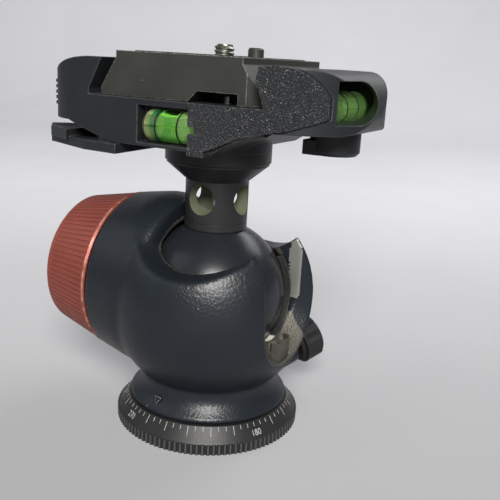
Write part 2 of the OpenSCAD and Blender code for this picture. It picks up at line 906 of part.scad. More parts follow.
// The nose cover's place in the platform; grow widens it all round
module nose_form(grow) {
    intersection() {
        along_y(-half_w - 4, -half_w + cover_t + grow) nose_outline(grow);
        platform_form(cover_proud + grow);
    }
    intersection() {
        along_y(-half_w - 4, cover_tip_y + grow) nose_outline(grow);
        difference() {
            platform_form(cover_proud + grow);
            translate([0, 0, under_z - far / 2]) linear_extrude(height = 2 * far)
                plan_outline(-cover_round_t - grow);
        }
        block([right_reach - nose_r, -far, 0], [far, 0, 3 * far]);
    }
}

// Grained cover on the platform's front, bent back below its crease
module nose_cover() {
    crease_z = 102.4;
    color("#272b31") difference() {
        nose_form(0);
        translate([0, -half_w - cover_proud, crease_z]) rotate([-24, 0, 0])
            block([0, -4, -20], [far, 0, 0]);
        front_vial_room();
    }
}

// Room for the level vial at the front
module front_vial_room() {
    translate([front_vial_x - front_vial_w / 2 - 0.2, front_vial_y, front_vial_z])
        rotate([0, 90, 0]) cylinder(r = vial_r + 0.2, h = front_vial_w + 0.4);
}

// Where the moving jaw runs, from the closed to the open place
module jaw_room() {
    block([-jaw_outer - jaw_travel - 0.4, -jaw_half - wall_gap, floor_z],
          [-mouth_half + 1, jaw_half + wall_gap, platform_z + 2]);
    block([tail_x - tail_t - jaw_travel - 0.4, -9.5, chamber_z], [tail_x + 0.3, 13, floor_z + 1]);
}

// Slanting window for the end vial, round at its far end
module end_window() {
    half_h = (window_high - window_low) / 2;
    intersection() {
        rotate([90, 0, 90 - window_turn]) translate([0, 0, -far]) linear_extrude(height = 3 * far) {
            translate([window_near, window_low])
                square([window_end - half_h - window_near, 2 * half_h]);
            translate([window_end - half_h, window_low + half_h]) circle(r = half_h);
        }
        block([window_back, -far, 0], [2 * far, window_far_y, 3 * far]);
    }
}

// Body of the quick-release platform
module receiver() {
    bay = 10;
    rib = 2;
    color("#1d2024") difference() {
        union() {
            platform_form(0);
            bar(flange_r, flange_z, under_z + 2);
        }
        // pocket for the plate, open at both ends
        along_y(-far, far) pocket_outline();
        nose_form(spring_gap);
        // window for the front vial
        block([window_x, -half_w - 2, under_z + 1], [cover_x + 0.2, front_vial_y + 0.5, 105]);
        front_vial_room();
        translate([cover_x, front_vial_y, front_vial_z]) rotate([0, 90, 0])
            cylinder(r = vial_r + 0.2, h = 4);
        // window round the end vial, with the round seat that holds it
        end_window();
        translate([end_vial_x, 0, end_vial_z]) rotate([90, 0, 0])
            cylinder(r = vial_r + 0.2, h = end_vial_w + 0.4, center = true);
        // jaw, cam chamber and lever pivot
        jaw_room();
        block([-43, -9.5, chamber_z], [lever_x + 6, 22, chamber_top]);
        translate([lever_x, lever_y, 0]) bar(cam_r + cam_offset + 0.5, chamber_z, chamber_top);
        translate([lever_x, lever_y, 0]) bar(4 + fit, under_z - 1, chamber_z + 1);
        // screws down into the neck's flange
        bar(3 + fit, flange_z - 1, floor_z + 1);
        bar(5.6, floor_z - 4.2, floor_z + 1);
        flange_screw_place() bar(1.7, flange_z - 1, floor_z + 1);
        flange_screw_place() bar(3, floor_z - 3.2, floor_z + 1);
        // trigger pin
        translate([trigger_x, trigger_y, 0]) bar(trigger_r + fit, floor_z - 6, floor_z + 1);
        translate([trigger_x, trigger_y, 0]) bar(trigger_r + 0.9, floor_z - 7, floor_z - 1.2);
        // release button and its spring
        translate([0, 0, button_low - 0.15])
            linear_extrude(height = button_high - button_low + 0.3)
                button_plan(2, button_t + button_travel + 0.3, button_half + 0.15);
        translate([-left_reach + button_t + 1, 0, 107]) rotate([0, 90, 0])
            cylinder(r = 2.4, h = 6);
        // catch
        translate([catch_x, 0, 0]) bar(1.5, end_low_z - 1, catch_screw_top + 0.6);
        // ribbed underside
        for (i = [0, 1], side = [-1, 1])
            translate([19.6 + i * (bay + rib), side * (bay + rib) * 0.95, 0])
                block([0, -bay / 2, under_z - 1], [bay, bay / 2, floor_z - 2.4]);
        block([-16, 17, under_z - 1], [-6, 25, floor_z - 2.4]);
        block([-4, 17, under_z - 1], [6, 25, floor_z - 2.4]);
    }
    color("#1d2024") fixed_jaw();
}

// Overhanging jaw on the right of the pocket, one with the platform's body
module fixed_jaw() {
    difference() {
        intersection() {
            along_y(-fixed_jaw_half, fixed_jaw_half)
                polygon([[mouth_half - 4, floor_z + 3], [pocket_half + 0.6, floor_z + 1],
                         [pocket_half + 0.6, platform_z], [mouth_half - 4, platform_z]]);
            platform_form(0);
        }
        along_y(-far, far) plate_outline(flat);
    }
}

// Central screw from the pocket's floor into the neck
module mount_screw() {
    length = floor_z - 0.4 - (cross_z + cross_d / 2 + 2);
    color("#8f9193") translate([0, 0, floor_z - 0.4]) cap_screw(3, 5.5, 3.8, length);
}

// Three screws from the pocket's floor into the flange
module flange_screws() {
    color("#8f9193") flange_screw_place() translate([0, 0, floor_z - 0.4])
        cap_screw(1.5, 2.9, 2.8, floor_z - flange_z + 3.6);
}

// A vial along +X from its left end, its left end round
module vial_body(r, w) {
    rotate([0, 90, 0]) rotate_extrude() polygon(concat(
        [[0, 0]],
        [for (i = [0 : 6]) let (a = 90 * i / 6) [r - 2 + 2 * sin(a), 2 - 2 * cos(a)]],
        [[r, w - 0.6], [r - 0.6, w], [0, w]]
    ));
}

// Glass wall of a vial
module vial_glass(w) {
    difference() {
        vial_body(vial_r, w);
        translate([fluid_wall * 2, 0, 0]) rotate([0, 90, 0])
            cylinder(r = vial_r - fluid_wall, h = w - fluid_wall * 4);
    }
}

// Green fluid in a vial with the bubble left out on top
module vial_fluid(w) {
    bubble_w = 5;
    difference() {
        translate([fluid_wall * 2, 0, 0]) rotate([0, 90, 0])
            cylinder(r = vial_r - fluid_wall, h = w - fluid_wall * 4);
        translate([w / 2, 0, vial_r + 0.8]) rotate([0, 90, 0])
            cylinder(r = 3, h = bubble_w, center = true);
    }
}

// The two black rings that the bubble is read against
module vial_rings(w, spread) {
    rotate([0, 90, 0]) for (side = [-1, 1])
        tube(vial_r + ring_proud, vial_r, (w + side * spread - ring_t) / 2,
             (w + side * spread + ring_t) / 2);
}

// Places the front vial, along X
module at_front_vial() {
    translate([front_vial_x - front_vial_w / 2, front_vial_y, front_vial_z]) children();
}

// Places the end vial, along Y
module at_end_vial() {
    translate([end_vial_x, -end_vial_w / 2, end_vial_z]) rotate([0, 0, 90]) children();
}

module front_vial() {
    color("#dfe8c8", 0.35) at_front_vial() vial_glass(front_vial_w);
}

module front_fluid() {
    color("#4fa83a", 0.8) at_front_vial() vial_fluid(front_vial_w);
}

module front_rings() {
    color("#101010") at_front_vial() vial_rings(front_vial_w, 7.4);
}

module end_vial() {
    color("#dfe8c8", 0.35) at_end_vial() vial_glass(end_vial_w);
}

module end_fluid() {
    color("#4fa83a", 0.8) at_end_vial() vial_fluid(end_vial_w);
}

module end_rings() {
    color("#101010") at_end_vial() vial_rings(end_vial_w, 8.8);
}

// ---- Quick-release mechanism --------------------------------------------

// Sliding jaw on the left of the pocket, with the tail that the cam pushes
module clamp_jaw() {
    tail_low = chamber_z + 0.2;
    color("#6d7072") {
        difference() {
            intersection() {
                block([-jaw_outer, -jaw_half, floor_z + flat],
                      [-mouth_half + 4, jaw_half, platform_z - 0.3]);
                platform_form(-0.3);
            }
            along_y(-far, far) plate_outline(flat);
            for (side = [-1, 1]) jaw_spring_place(side)
                cylinder(r = 2.3, h = 6.6);
        }
        block([tail_x - tail_t, -8, tail_low], [tail_x, 11, floor_z + flat + 0.5]);
    }
}

// Where a jaw spring starts, pointing away from the jaw
module jaw_spring_place(side) {
    translate([-jaw_outer - eps, side * 10, 111]) rotate([0, 90, 0]) children();
}

// Two springs that push the jaw against the plate
module jaw_springs() {
    color("#b0b2b4") for (side = [-1, 1]) jaw_spring_place(side)
        spring_sleeve(2, 0.6, 0.2 - jaw_travel, 3);
}

// Quick lever under the platform, with its thumb pad at the left front
module quick_lever() {
    low = lever_top - lever_t;
    color("#23262a") difference() {
        union() {
            translate([0, 0, low]) linear_extrude(height = lever_t) {
                translate([lever_x, lever_y]) circle(r = 7);
                polygon([[-19, 4.8], [-17.6, -30.2], [-30, -29.4], [-50, -21.6],
                         [-55.4, -15.4], [-50, -10], [-36, -3], [-30.6, 12.2]]);
            }
            // raised thumb pad outside the platform
            translate([0, 0, lever_top - 1]) linear_extrude(height = 3.2)
                polygon([[-38.4, -28], [-50, -21.8], [-55.4, -15.4], [-51.6, -11.4],
                         [-44.4, -9], [-38.4, -12]]);
        }
        translate([lever_x, lever_y, 0]) bar(4, low - eps, lever_top + eps);
        // shallow dish in the pad
        translate([-47, -17, lever_top + 2.2 + 16.8]) sphere(r = 18);
    }
}

// Cam on the lever's shaft, inside the platform
module lever_cam() {
    color("#8a8c8e") translate([lever_x, lever_y, 0]) {
        bar(4, lever_top - lever_t + 1, cam_z + cam_t);
        rotate([0, 0, 180 + cam_lead]) translate([cam_offset, 0, 0])
            bar(cam_r, cam_z, cam_z + cam_t);
    }
}

// Screw that joins the lever to its shaft
module lever_pin() {
    color("#a8aaac") translate([lever_x, lever_y, lever_top - lever_t]) mirror([0, 0, 1])
        difference() {
            bar(3.6, -1, 1);
            block([-0.5, -5, 0.4], [0.5, 5, 2]);
        }
}

// Plan of the release button, wrapped round the platform's left end: proud sets
// how far it stands out, deep how far it reaches in, half_y its half width
module button_plan(proud, deep, half_y) {
    difference() {
        intersection() {
            round_rect(-left_reach - proud, right_reach, half_w + proud, corner_r + proud);
            translate([-far, -half_y]) square([2 * far - left_reach, 2 * half_y]);
        }
        translate([deep, 0]) round_rect(-left_reach, right_reach, half_w, corner_r);
    }
}

// Ribbed release button
module release_button() {
    pitch = 1.7;
    ribs = 4;
    groove = 0.7;
    color("#17191b") difference() {
        translate([0, 0, button_low]) linear_extrude(height = button_high - button_low)
            button_plan(button_proud, button_t, button_half);
        for (i = [0 : ribs]) translate([0, 0, button_low + 1 + i * pitch])
            linear_extrude(height = groove) difference() {
                square(4 * far, center = true);
                round_rect(-left_reach - 0.1, far, half_w + 0.1, corner_r);
            }
    }
}

// Spring behind the release button
module button_spring() {
    color("#b0b2b4") translate([-left_reach + button_t + button_travel + 0.1, 0, 107])
        rotate([0, 90, 0]) spring_sleeve(2, 0.6, 0, 5);
}

// Pin that the plate pushes down when it drops in
module trigger_pin() {
    color("#c0c2c4") translate([trigger_x, trigger_y, 0]) {
        bar(trigger_r, floor_z - 4, floor_z + trigger_h);
        bar(trigger_r + 0.7, floor_z - 2.6, floor_z - 1.6);
    }
}

// Spring under the trigger pin
module trigger_spring() {
    color("#b0b2b4") translate([trigger_x, trigger_y, 0])
        spring_sleeve(trigger_r + 0.6, 0.5, floor_z - 6.9, floor_z - 4.4);
}

// Thumb catch under the platform's right end
module safety_catch() {
    low = catch_top - catch_h;
    color("#191b1e") difference() {
        union() {
            translate([catch_x, 0, 0]) {
                bar(catch_r, low + 1, catch_top);
                translate([0, 0, low]) cylinder(r1 = catch_r - 1, r2 = catch_r, h = 1);
            }
            block([catch_x - 7.4, -6.6, low], [catch_x - 2, 4, catch_top - 2.6]);
        }
        translate([catch_x, 0, 0]) bar(1.6 + fit, low - eps, catch_top + eps);
        translate([catch_x, 0, 0]) bar(3.2, low - eps, low + 2);
    }
}

// Shoulder screw that the catch turns on
module catch_screw() {
    low = catch_top - catch_h;
    color("#a8aaac") translate([catch_x, 0, 0]) {
        bar(2.9, low + 0.4, low + 1.9);
        bar(1.5, low + 1.9, catch_screw_top);
    }
}

// ---- Plate --------------------------------------------------------------

// Quick-release plate with its dovetail sides
module quick_plate() {
    bay = 9.6;
    rib = 1.8;
    columns = 3;
    cut_w = 15.9;
    color("#3b3d38") difference() {
        intersection() {
            along_y(plate_front, plate_front + plate_l) plate_outline(0);
            // corners cut back below the rim
            union() {
                bar(2 * far, plate_z - rim_t, plate_z + 1);
                translate([0, plate_y, 0]) linear_extrude(height = plate_z - rim_t) difference() {
                    square([2 * foot_half, plate_l], center = true);
                    for (turn = [0, 180]) rotate(turn)
                        polygon([[foot_half - 5, -plate_l / 2 - 1], [foot_half + 1, -plate_l / 2 - 1],
                                 [foot_half + 1, -plate_l / 2 + 5]]);
                }
            }
        }
        // cut-out at the front over the trigger pin
        along_y(plate_front - 1, plate_front + 11)
            polygon([[3.9, plate_low - 1], [3.9, plate_low], [7, plate_low + 3],
                     [3.9 + cut_w, plate_low + 3], [3.9 + cut_w, plate_low - 1]]);
        // lightening bays in the underside
        for (ix = [-columns + 2 : columns - 2], iy = [-1, 0, 1]) if (ix != 0 || iy != 0)
            if (iy >= 0 || ix < 0)
                translate([ix * (bay + rib) * 1.15, plate_y + iy * (bay + rib) * 1.3, 0])
                    block([-bay / 2, -bay / 2, plate_low - 1], [bay / 2, bay / 2, plate_z - 4.6]);
        // camera screw and anti-twist pin
        translate([0, plate_y, 0]) {
            bar(camera_screw_d / 2 + 0.2, plate_low - 1, plate_z + 1);
            bar(7.2, plate_low - 1, plate_low + 4.4);
            bar(4.6, plate_low + 4, plate_low + 6.2);
            translate([pin_x, 0, 0]) bar(pin_d / 2 + fit, plate_z - 4, plate_z + 1);
            translate([pin_x, 0, 0]) bar(pin_d / 2 + 0.7, plate_low - 1, plate_z - 1.6);
        }
        // seats for the rubber strips
        plate_pad_outline(0);
    }
}

// Outline of the two rubber strips on the plate's top
module plate_pad_outline(lift) {
    for (side = [-1, 1]) translate([0, plate_y + side * 17, 0])
        translate([0, 0, plate_z - 0.8]) linear_extrude(height = lift > 0 ? 0.8 + pad_t : 2)
            round_rect(-18, 18, 5.5, 2);
}

// Two rubber strips that grip the camera
module plate_pads() {
    color("#2b2b29") plate_pad_outline(1);
}

// Camera screw with a slotted head under the plate
module camera_screw() {
    low = plate_low + 0.5;
    color("#6e6f66") translate([0, plate_y, 0]) difference() {
        union() {
            bar(7, low, low + 3.6);
            bar(shank_r, low + 3.6, plate_z);
            bar(camera_screw_d / 2, plate_z, plate_z + camera_screw_h - 0.8);
            translate([0, 0, plate_z + camera_screw_h - 0.8])
                cylinder(r1 = camera_screw_d / 2, r2 = camera_screw_d / 2 - 0.8, h = 0.8);
        }
        block([-8, -0.9, low - 1], [8, 0.9, low + 1.6]);
    }
}

// Clip that keeps the camera screw in the plate
module screw_clip() {
    color("#4c4e50") translate([0, plate_y, 0])
        tube(4.5, shank_r + 0.15, plate_low + 4.5, plate_low + 5.3);
}

// Sprung anti-twist pin, necked where it passes through the plate's top
module twist_pin() {
    chamfer = 0.5;
    color("#4b4a44") translate([pin_x, plate_y, 0]) {
        bar(pin_d / 2 + 0.5, plate_z - 4, plate_z - 1.8);
        bar(pin_neck_r, plate_z - 1.8, plate_z);
        bar(pin_d / 2, plate_z, plate_z + pin_h - chamfer);
        translate([0, 0, plate_z + pin_h - chamfer])
            cylinder(r1 = pin_d / 2, r2 = pin_d / 2 - chamfer, h = chamfer);
    }
}

// Spring under the anti-twist pin
module twist_spring() {
    color("#b0b2b4") translate([pin_x, plate_y, 0])
        spring_sleeve(pin_d / 2 - 0.8, 0.6, plate_low + 0.1, plate_z - 4.1);
}

base_disc();
pan_spindle();
retaining_washer();
retaining_ring();
glide_ring();
housing();
spring_seat();
disc_springs();
ball_cup();
seat_liner();
notch_stop();
stop_screws();
lock_bushing();
pan_bushing();
clamp_shoe();
lock_ring();
knob_hub();
lock_screw();
knob_face();
hub_screws();
friction_knob();
friction_plunger();
friction_spring();
pan_pad();
pan_knob();
pan_screw();
ball();
stem_foot();
neck();
receiver();
nose_cover();
flange_screws();
mount_screw();
front_vial();
front_fluid();
front_rings();
end_vial();
end_fluid();
end_rings();
clamp_jaw();
jaw_springs();
quick_lever();
lever_cam();
lever_pin();
release_button();
button_spring();
trigger_pin();
trigger_spring();
safety_catch();
catch_screw();
quick_plate();
plate_pads();
camera_screw();
screw_clip();
twist_pin();
twist_spring();
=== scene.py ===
import math

import bpy
from mathutils import Matrix, Vector


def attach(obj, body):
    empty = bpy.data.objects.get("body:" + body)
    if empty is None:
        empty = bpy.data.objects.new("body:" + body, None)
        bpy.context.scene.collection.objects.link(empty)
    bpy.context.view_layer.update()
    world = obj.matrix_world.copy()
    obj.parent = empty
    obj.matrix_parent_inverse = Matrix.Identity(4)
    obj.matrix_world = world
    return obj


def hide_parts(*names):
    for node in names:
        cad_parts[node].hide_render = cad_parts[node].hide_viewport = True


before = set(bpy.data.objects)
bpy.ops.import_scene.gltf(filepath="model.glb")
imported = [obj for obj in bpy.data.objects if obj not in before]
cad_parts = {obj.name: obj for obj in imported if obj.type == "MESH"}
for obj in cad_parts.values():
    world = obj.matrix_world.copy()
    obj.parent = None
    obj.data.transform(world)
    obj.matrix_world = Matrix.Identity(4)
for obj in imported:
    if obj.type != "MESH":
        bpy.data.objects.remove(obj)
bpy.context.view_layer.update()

MM = 0.001

# ---- Camera ---------------------------------------------------------------
# A hand-held camera in front and to the right, a little above the head and
# tipped down 15 degrees, at the distance that the plate's edges give.

for item in bpy.context.selected_objects:
    item.select_set(False)
bpy.ops.object.camera_add(
    location=(0.11224, -0.19362, 0.1191),
    rotation=(math.radians(74.795), math.radians(-3.223), math.radians(27.966)),
)
camera = bpy.context.object
camera.data.sensor_width = 36
camera.data.lens = 50.4
camera.data.clip_start = 0.01
bpy.context.scene.camera = camera
bpy.context.scene.view_settings.view_transform = "Standard"

# ---- Cloth floor and backdrop ---------------------------------------------
# A pale grey sheet that runs under the head and rises behind it, painted darker
# to the front as painted shade, with a painted glow that only the camera sees.

CLOTH = (0.7, 0.7, 0.72, 1)


def new_material(name, colour, rough=0.5, metal=0.0):
    """A material with its Principled shader, ready for detail nodes."""
    material = bpy.data.materials.new(name)
    material.use_nodes = True
    shader = material.node_tree.nodes["Principled BSDF"]
    shader.inputs["Base Color"].default_value = (*colour[:3], 1)
    shader.inputs["Roughness"].default_value = rough
    shader.inputs["Metallic"].default_value = metal
    return material, material.node_tree, shader


def deselect():
    """Clears the selection, so that the next tool acts on its own piece."""
    for item in bpy.context.selected_objects:
        item.select_set(False)


deselect()
bpy.ops.mesh.primitive_grid_add(x_subdivisions=2, y_subdivisions=48, size=1)
floor = bpy.context.object
floor.name = "floor_cloth"
for vertex in floor.data.vertices:
    run = vertex.co.y + 0.5
    bend = max(0.0, run - 0.62) / 0.38
    vertex.co.x *= 5
    vertex.co.y = -1.2 + 3.4 * run - 0.9 * bend * bend
    vertex.co.z = 1.9 * bend * bend
floor.rotation_euler.z = math.radians(28)
bpy.ops.object.shade_smooth()
cloth, tree, shader = new_material("pale_cloth", CLOTH, 0.9)
coords = tree.nodes.new("ShaderNodeTexCoord")
weave = tree.nodes.new("ShaderNodeTexNoise")
weave.inputs["Scale"].default_value = 9
weave.inputs["Detail"].default_value = 2
tone = tree.nodes.new("ShaderNodeValToRGB")
tone.color_ramp.elements[0].color = (0.63, 0.635, 0.665, 1)
tone.color_ramp.elements[1].color = CLOTH
tree.links.new(coords.outputs["Object"], weave.inputs["Vector"])
tree.links.new(weave.outputs["Fac"], tone.inputs["Fac"])
place = tree.nodes.new("ShaderNodeSeparateXYZ")
tree.links.new(coords.outputs["Object"], place.inputs["Vector"])
# painted shade: the cloth's colour is scaled down towards the front
depth = tree.nodes.new("ShaderNodeMapRange")
depth.interpolation_type = "SMOOTHSTEP"
depth.inputs["From Min"].default_value = -0.2
depth.inputs["From Max"].default_value = 0.5
depth.inputs["To Min"].default_value = 0.36
depth.inputs["To Max"].default_value = 1.0
tree.links.new(place.outputs["Y"], depth.inputs["Value"])
shade = tree.nodes.new("ShaderNodeVectorMath")
shade.operation = "SCALE"
tree.links.new(tone.outputs["Color"], shade.inputs["Vector"])
tree.links.new(depth.outputs["Result"], shade.inputs["Scale"])
tree.links.new(shade.outputs["Vector"], shader.inputs["Base Color"])
tree.links.new(shade.outputs["Vector"], shader.inputs["Emission Color"])
# painted glow: the cloth gives off its own colour, for camera rays only
seen = tree.nodes.new("ShaderNodeLightPath")
painted_camera_glow = tree.nodes.new("ShaderNodeMath")
painted_camera_glow.operation = "MULTIPLY"
painted_camera_glow.inputs[1].default_value = 0.34
tree.links.new(seen.outputs["Is Camera Ray"], painted_camera_glow.inputs[0])
tree.links.new(painted_camera_glow.outputs[0], shader.inputs["Emission Strength"])
floor.data.materials.append(cloth)

# ---- Lights ---------------------------------------------------------------
# A large soft key above the camera gives the broad highlight on the housing,
# a weak fill opens the left side, and a rim lamp behind draws the edges.

KEY_AIM = Vector((0, 0, 0.06))


def soft_lamp(name, azimuth, elevation, distance, size, watts, colour=(1, 1, 1)):
    """A square area lamp that looks at the head from the given side."""
    a, e = math.radians(azimuth), math.radians(elevation)
    towards = Vector((math.cos(a) * math.cos(e), math.sin(a) * math.cos(e), math.sin(e)))
    deselect()
    bpy.ops.object.light_add(type="AREA", location=KEY_AIM + towards * distance)
    lamp = bpy.context.object
    lamp.name = name
    lamp.rotation_euler = (-towards).to_track_quat("-Z", "Y").to_euler()
    lamp.data.size = size
    lamp.data.energy = watts
    lamp.data.color = colour
    return lamp


soft_lamp("key", -60, 33, 0.9, 0.34, 13.5, (1, 0.975, 0.94))
soft_lamp("fill", -150, 35, 1.2, 0.9, 1.6, (0.93, 0.96, 1))
soft_lamp("rim", 75, 45, 1.2, 0.7, 5.0)
world = bpy.data.worlds.new("soft_room")
world.use_nodes = True
world.node_tree.nodes["Background"].inputs["Color"].default_value = (0.78, 0.8, 0.84, 1)
world.node_tree.nodes["Background"].inputs["Strength"].default_value = 0.17
bpy.context.scene.world = world

# ---- Base disc ------------------------------------------------------------
# Turned aluminium disc, bead-blasted and black anodised, with a knurled grip
# whose tips are painted paler, toward brown, as a painted highlight. It screws
# down on the tripod.


def group_node(tree, group, **values):
    """Places a node group in a material and sets its named inputs."""
    node = tree.nodes.new("ShaderNodeGroup")
    node.node_tree = group
    for name, value in values.items():
        node.inputs[name.replace("_", " ")].default_value = value
    return node


def new_group(name, inputs, outputs):
    """An empty node group with named float inputs and outputs."""
    group = bpy.data.node_groups.new(name, "ShaderNodeTree")
    for text, value in inputs:
        socket = group.interface.new_socket(text, in_out="INPUT", socket_type="NodeSocketFloat")
        socket.default_value = value
    for text in outputs:
        group.interface.new_socket(text, in_out="OUTPUT", socket_type="NodeSocketFloat")
    return group, group.nodes.new("NodeGroupInput"), group.nodes.new("NodeGroupOutput")


def sum_node(tree, kind, first, second=None, third=None):
    """A Math node on sockets or numbers; gives its output socket."""
    node = tree.nodes.new("ShaderNodeMath")
    node.operation = kind
    for index, value in enumerate((first, second, third)):
        if value is None:
            continue
        if isinstance(value, (int, float)):
            node.inputs[index].default_value = value
        else:
            tree.links.new(value, node.inputs[index])
    return node.outputs[0]


def band(tree, value, low, high):
    """0 below low, 1 above high, straight between them."""
    node = tree.nodes.new("ShaderNodeMapRange")
    node.inputs["From Min"].default_value = low
    node.inputs["From Max"].default_value = high
    tree.links.new(value, node.inputs["Value"])
    return node.outputs["Result"]


# grain of a blasted or sprayed skin: Height for a bump, Tone for its colour,
# and Dust for the few pale specks that lie on it
grain_group, grain_in, grain_out = new_group(
    "blasted_grain",
    [("Cell", 2500.0), ("Roughen", 0.5), ("Dust limit", 0.74)],
    ["Height", "Tone", "Dust"],
)
t = grain_group
where = t.nodes.new("ShaderNodeTexCoord")
fine = t.nodes.new("ShaderNodeTexNoise")
fine.inputs["Detail"].default_value = 2
t.links.new(where.outputs["Object"], fine.inputs["Vector"])
t.links.new(grain_in.outputs["Cell"], fine.inputs["Scale"])
t.links.new(grain_in.outputs["Roughen"], fine.inputs["Roughness"])
t.links.new(fine.outputs["Fac"], grain_out.inputs["Height"])
broad = t.nodes.new("ShaderNodeTexNoise")
broad.inputs["Scale"].default_value = 90
broad.inputs["Detail"].default_value = 3
t.links.new(where.outputs["Object"], broad.inputs["Vector"])
t.links.new(broad.outputs["Fac"], grain_out.inputs["Tone"])
cells = t.nodes.new("ShaderNodeTexVoronoi")
cells.inputs["Scale"].default_value = 520
t.links.new(where.outputs["Object"], cells.inputs["Vector"])
pick = t.nodes.new("ShaderNodeSeparateColor")
t.links.new(cells.outputs["Color"], pick.inputs["Color"])
speck_size = sum_node(t, "MULTIPLY", pick.outputs["Green"], 0.085)
is_speck = sum_node(t, "LESS_THAN", cells.outputs["Distance"], speck_size)
is_picked = sum_node(t, "GREATER_THAN", pick.outputs["Red"], grain_in.outputs["Dust limit"])
t.links.new(sum_node(t, "MULTIPLY", is_speck, is_picked), grain_out.inputs["Dust"])

# soft edge of a cast, moulded or turned piece: the Normal of a rounded edge of
# the given radius, and Edge, a mask of where that rounding is
edge_group, edge_in, edge_out = new_group("soft_edge", [("Radius", 0.0003)], ["Edge"])
edge_group.interface.new_socket("Normal", in_out="OUTPUT", socket_type="NodeSocketVector")
t = edge_group
round_off = t.nodes.new("ShaderNodeBevel")
round_off.samples = 6
t.links.new(edge_in.outputs["Radius"], round_off.inputs["Radius"])
t.links.new(round_off.outputs["Normal"], edge_out.inputs["Normal"])
flat_normal = t.nodes.new("ShaderNodeNewGeometry")
turn = t.nodes.new("ShaderNodeVectorMath")
turn.operation = "DOT_PRODUCT"
t.links.new(round_off.outputs["Normal"], turn.inputs[0])
t.links.new(flat_normal.outputs["Normal"], turn.inputs[1])
t.links.new(band(t, turn.outputs["Value"], 0.99, 0.9), edge_out.inputs["Edge"])


def coated(name, dark, light, rough, cell, depth, metal=0.0, dust=0.93, roughen=0.5,
           spread=0.08, edge=0.0002, worn=0.0, bare_and_glint_colour=(0.3, 0.3, 0.29)):
    """A sprayed or anodised skin: grain, slow tone change, soft pale edges (real wear on some
    parts, a painted highlight on others), dust.
    """
    material, tree, shader = new_material(name, dark, rough, metal)
    grain = group_node(tree, grain_group, Cell=cell, Roughen=roughen, Dust_limit=dust)
    mix = tree.nodes.new("ShaderNodeMix")
    mix.data_type = "RGBA"
    mix.inputs["A"].default_value = (*dark, 1)
    mix.inputs["B"].default_value = (*light, 1)
    tree.links.new(grain.outputs["Tone"], mix.inputs["Factor"])
    speck = tree.nodes.new("ShaderNodeMix")
    speck.data_type = "RGBA"
    speck.inputs["B"].default_value = (0.34, 0.33, 0.31, 1)
    tree.links.new(grain.outputs["Dust"], speck.inputs["Factor"])
    soft = group_node(tree, edge_group, Radius=edge)
    # edges painted toward a paler colour: real wear on some parts, a painted highlight on others
    edge_wear_and_glint = tree.nodes.new("ShaderNodeMix")
    edge_wear_and_glint.data_type = "RGBA"
    edge_wear_and_glint.inputs["B"].default_value = (*bare_and_glint_colour, 1)
    patchy = sum_node(tree, "MULTIPLY", band(tree, grain.outputs["Height"], 0.4, 0.6), worn)
    edge_wear_and_glint_mask = sum_node(tree, "MULTIPLY", soft.outputs["Edge"], patchy)
    tree.links.new(edge_wear_and_glint_mask, edge_wear_and_glint.inputs["Factor"])
    tree.links.new(mix.outputs["Result"], edge_wear_and_glint.inputs["A"])
    tree.links.new(edge_wear_and_glint.outputs["Result"], speck.inputs["A"])
    tree.links.new(speck.outputs["Result"], shader.inputs["Base Color"])
    uneven = tree.nodes.new("ShaderNodeMapRange")
    uneven.inputs["To Min"].default_value = rough - spread
    uneven.inputs["To Max"].default_value = rough + spread
    tree.links.new(grain.outputs["Tone"], uneven.inputs["Value"])
    tree.links.new(uneven.outputs["Result"], shader.inputs["Roughness"])
    bump = tree.nodes.new("ShaderNodeBump")
    bump.inputs["Strength"].default_value = 1
    bump.inputs["Distance"].default_value = depth
    tree.links.new(grain.outputs["Height"], bump.inputs["Height"])
    tree.links.new(soft.outputs["Normal"], bump.inputs["Normal"])
    tree.links.new(bump.outputs["Normal"], shader.inputs["Normal"])
    shader.inputs["Specular IOR Level"].default_value = 0.36
    return material, tree, shader, speck


def lay_marks_and_painted_light(tree, shader, last_colour, mask, colour):
    """Lays a colour over a skin where the mask is 1: real wear and marks on some parts, painted
    highlights and painted shade on others.
    """
    worn = tree.nodes.new("ShaderNodeMix")
    worn.data_type = "RGBA"
    worn.inputs["B"].default_value = (*colour, 1)
    tree.links.new(mask, worn.inputs["Factor"])
    tree.links.new(last_colour.outputs["Result"], worn.inputs["A"])
    tree.links.new(worn.outputs["Result"], shader.inputs["Base Color"])
    return worn


def dress(node, *materials):
    """Gives a CAD node its material in every slot."""
    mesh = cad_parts[node].data
    mesh.materials.clear()
    for material in materials:
        mesh.materials.append(material)


def axis_distance(tree, point, direction):
    """Distance from an axis, and the run along it, from Object coordinates."""
    where = tree.nodes.new("ShaderNodeTexCoord")
    off = tree.nodes.new("ShaderNodeVectorMath")
    off.operation = "SUBTRACT"
    off.inputs[1].default_value = point
    tree.links.new(where.outputs["Object"], off.inputs[0])
    run = tree.nodes.new("ShaderNodeVectorMath")
    run.operation = "DOT_PRODUCT"
    run.inputs[1].default_value = direction
    tree.links.new(off.outputs["Vector"], run.inputs[0])
    cross = tree.nodes.new("ShaderNodeVectorMath")
    cross.operation = "CROSS_PRODUCT"
    cross.inputs[1].default_value = direction
    tree.links.new(off.outputs["Vector"], cross.inputs[0])
    length = tree.nodes.new("ShaderNodeVectorMath")
    length.operation = "LENGTH"
    tree.links.new(cross.outputs["Vector"], length.inputs[0])
    return length.outputs["Value"], run.outputs["Value"]


BASE_R = 31 * MM
BAND_H = 3.4 * MM
BASE_H = 7.9 * MM
CONE_TOP_R = 27.1 * MM
KNURL = 0.45 * MM

base_black, tree, shader, last = coated(
    "base_black", (0.012, 0.0125, 0.0135), (0.02, 0.02, 0.021), 0.36, 5200, 0.00006
)
radius, height = axis_distance(tree, (0, 0, 0), (0, 0, 1))
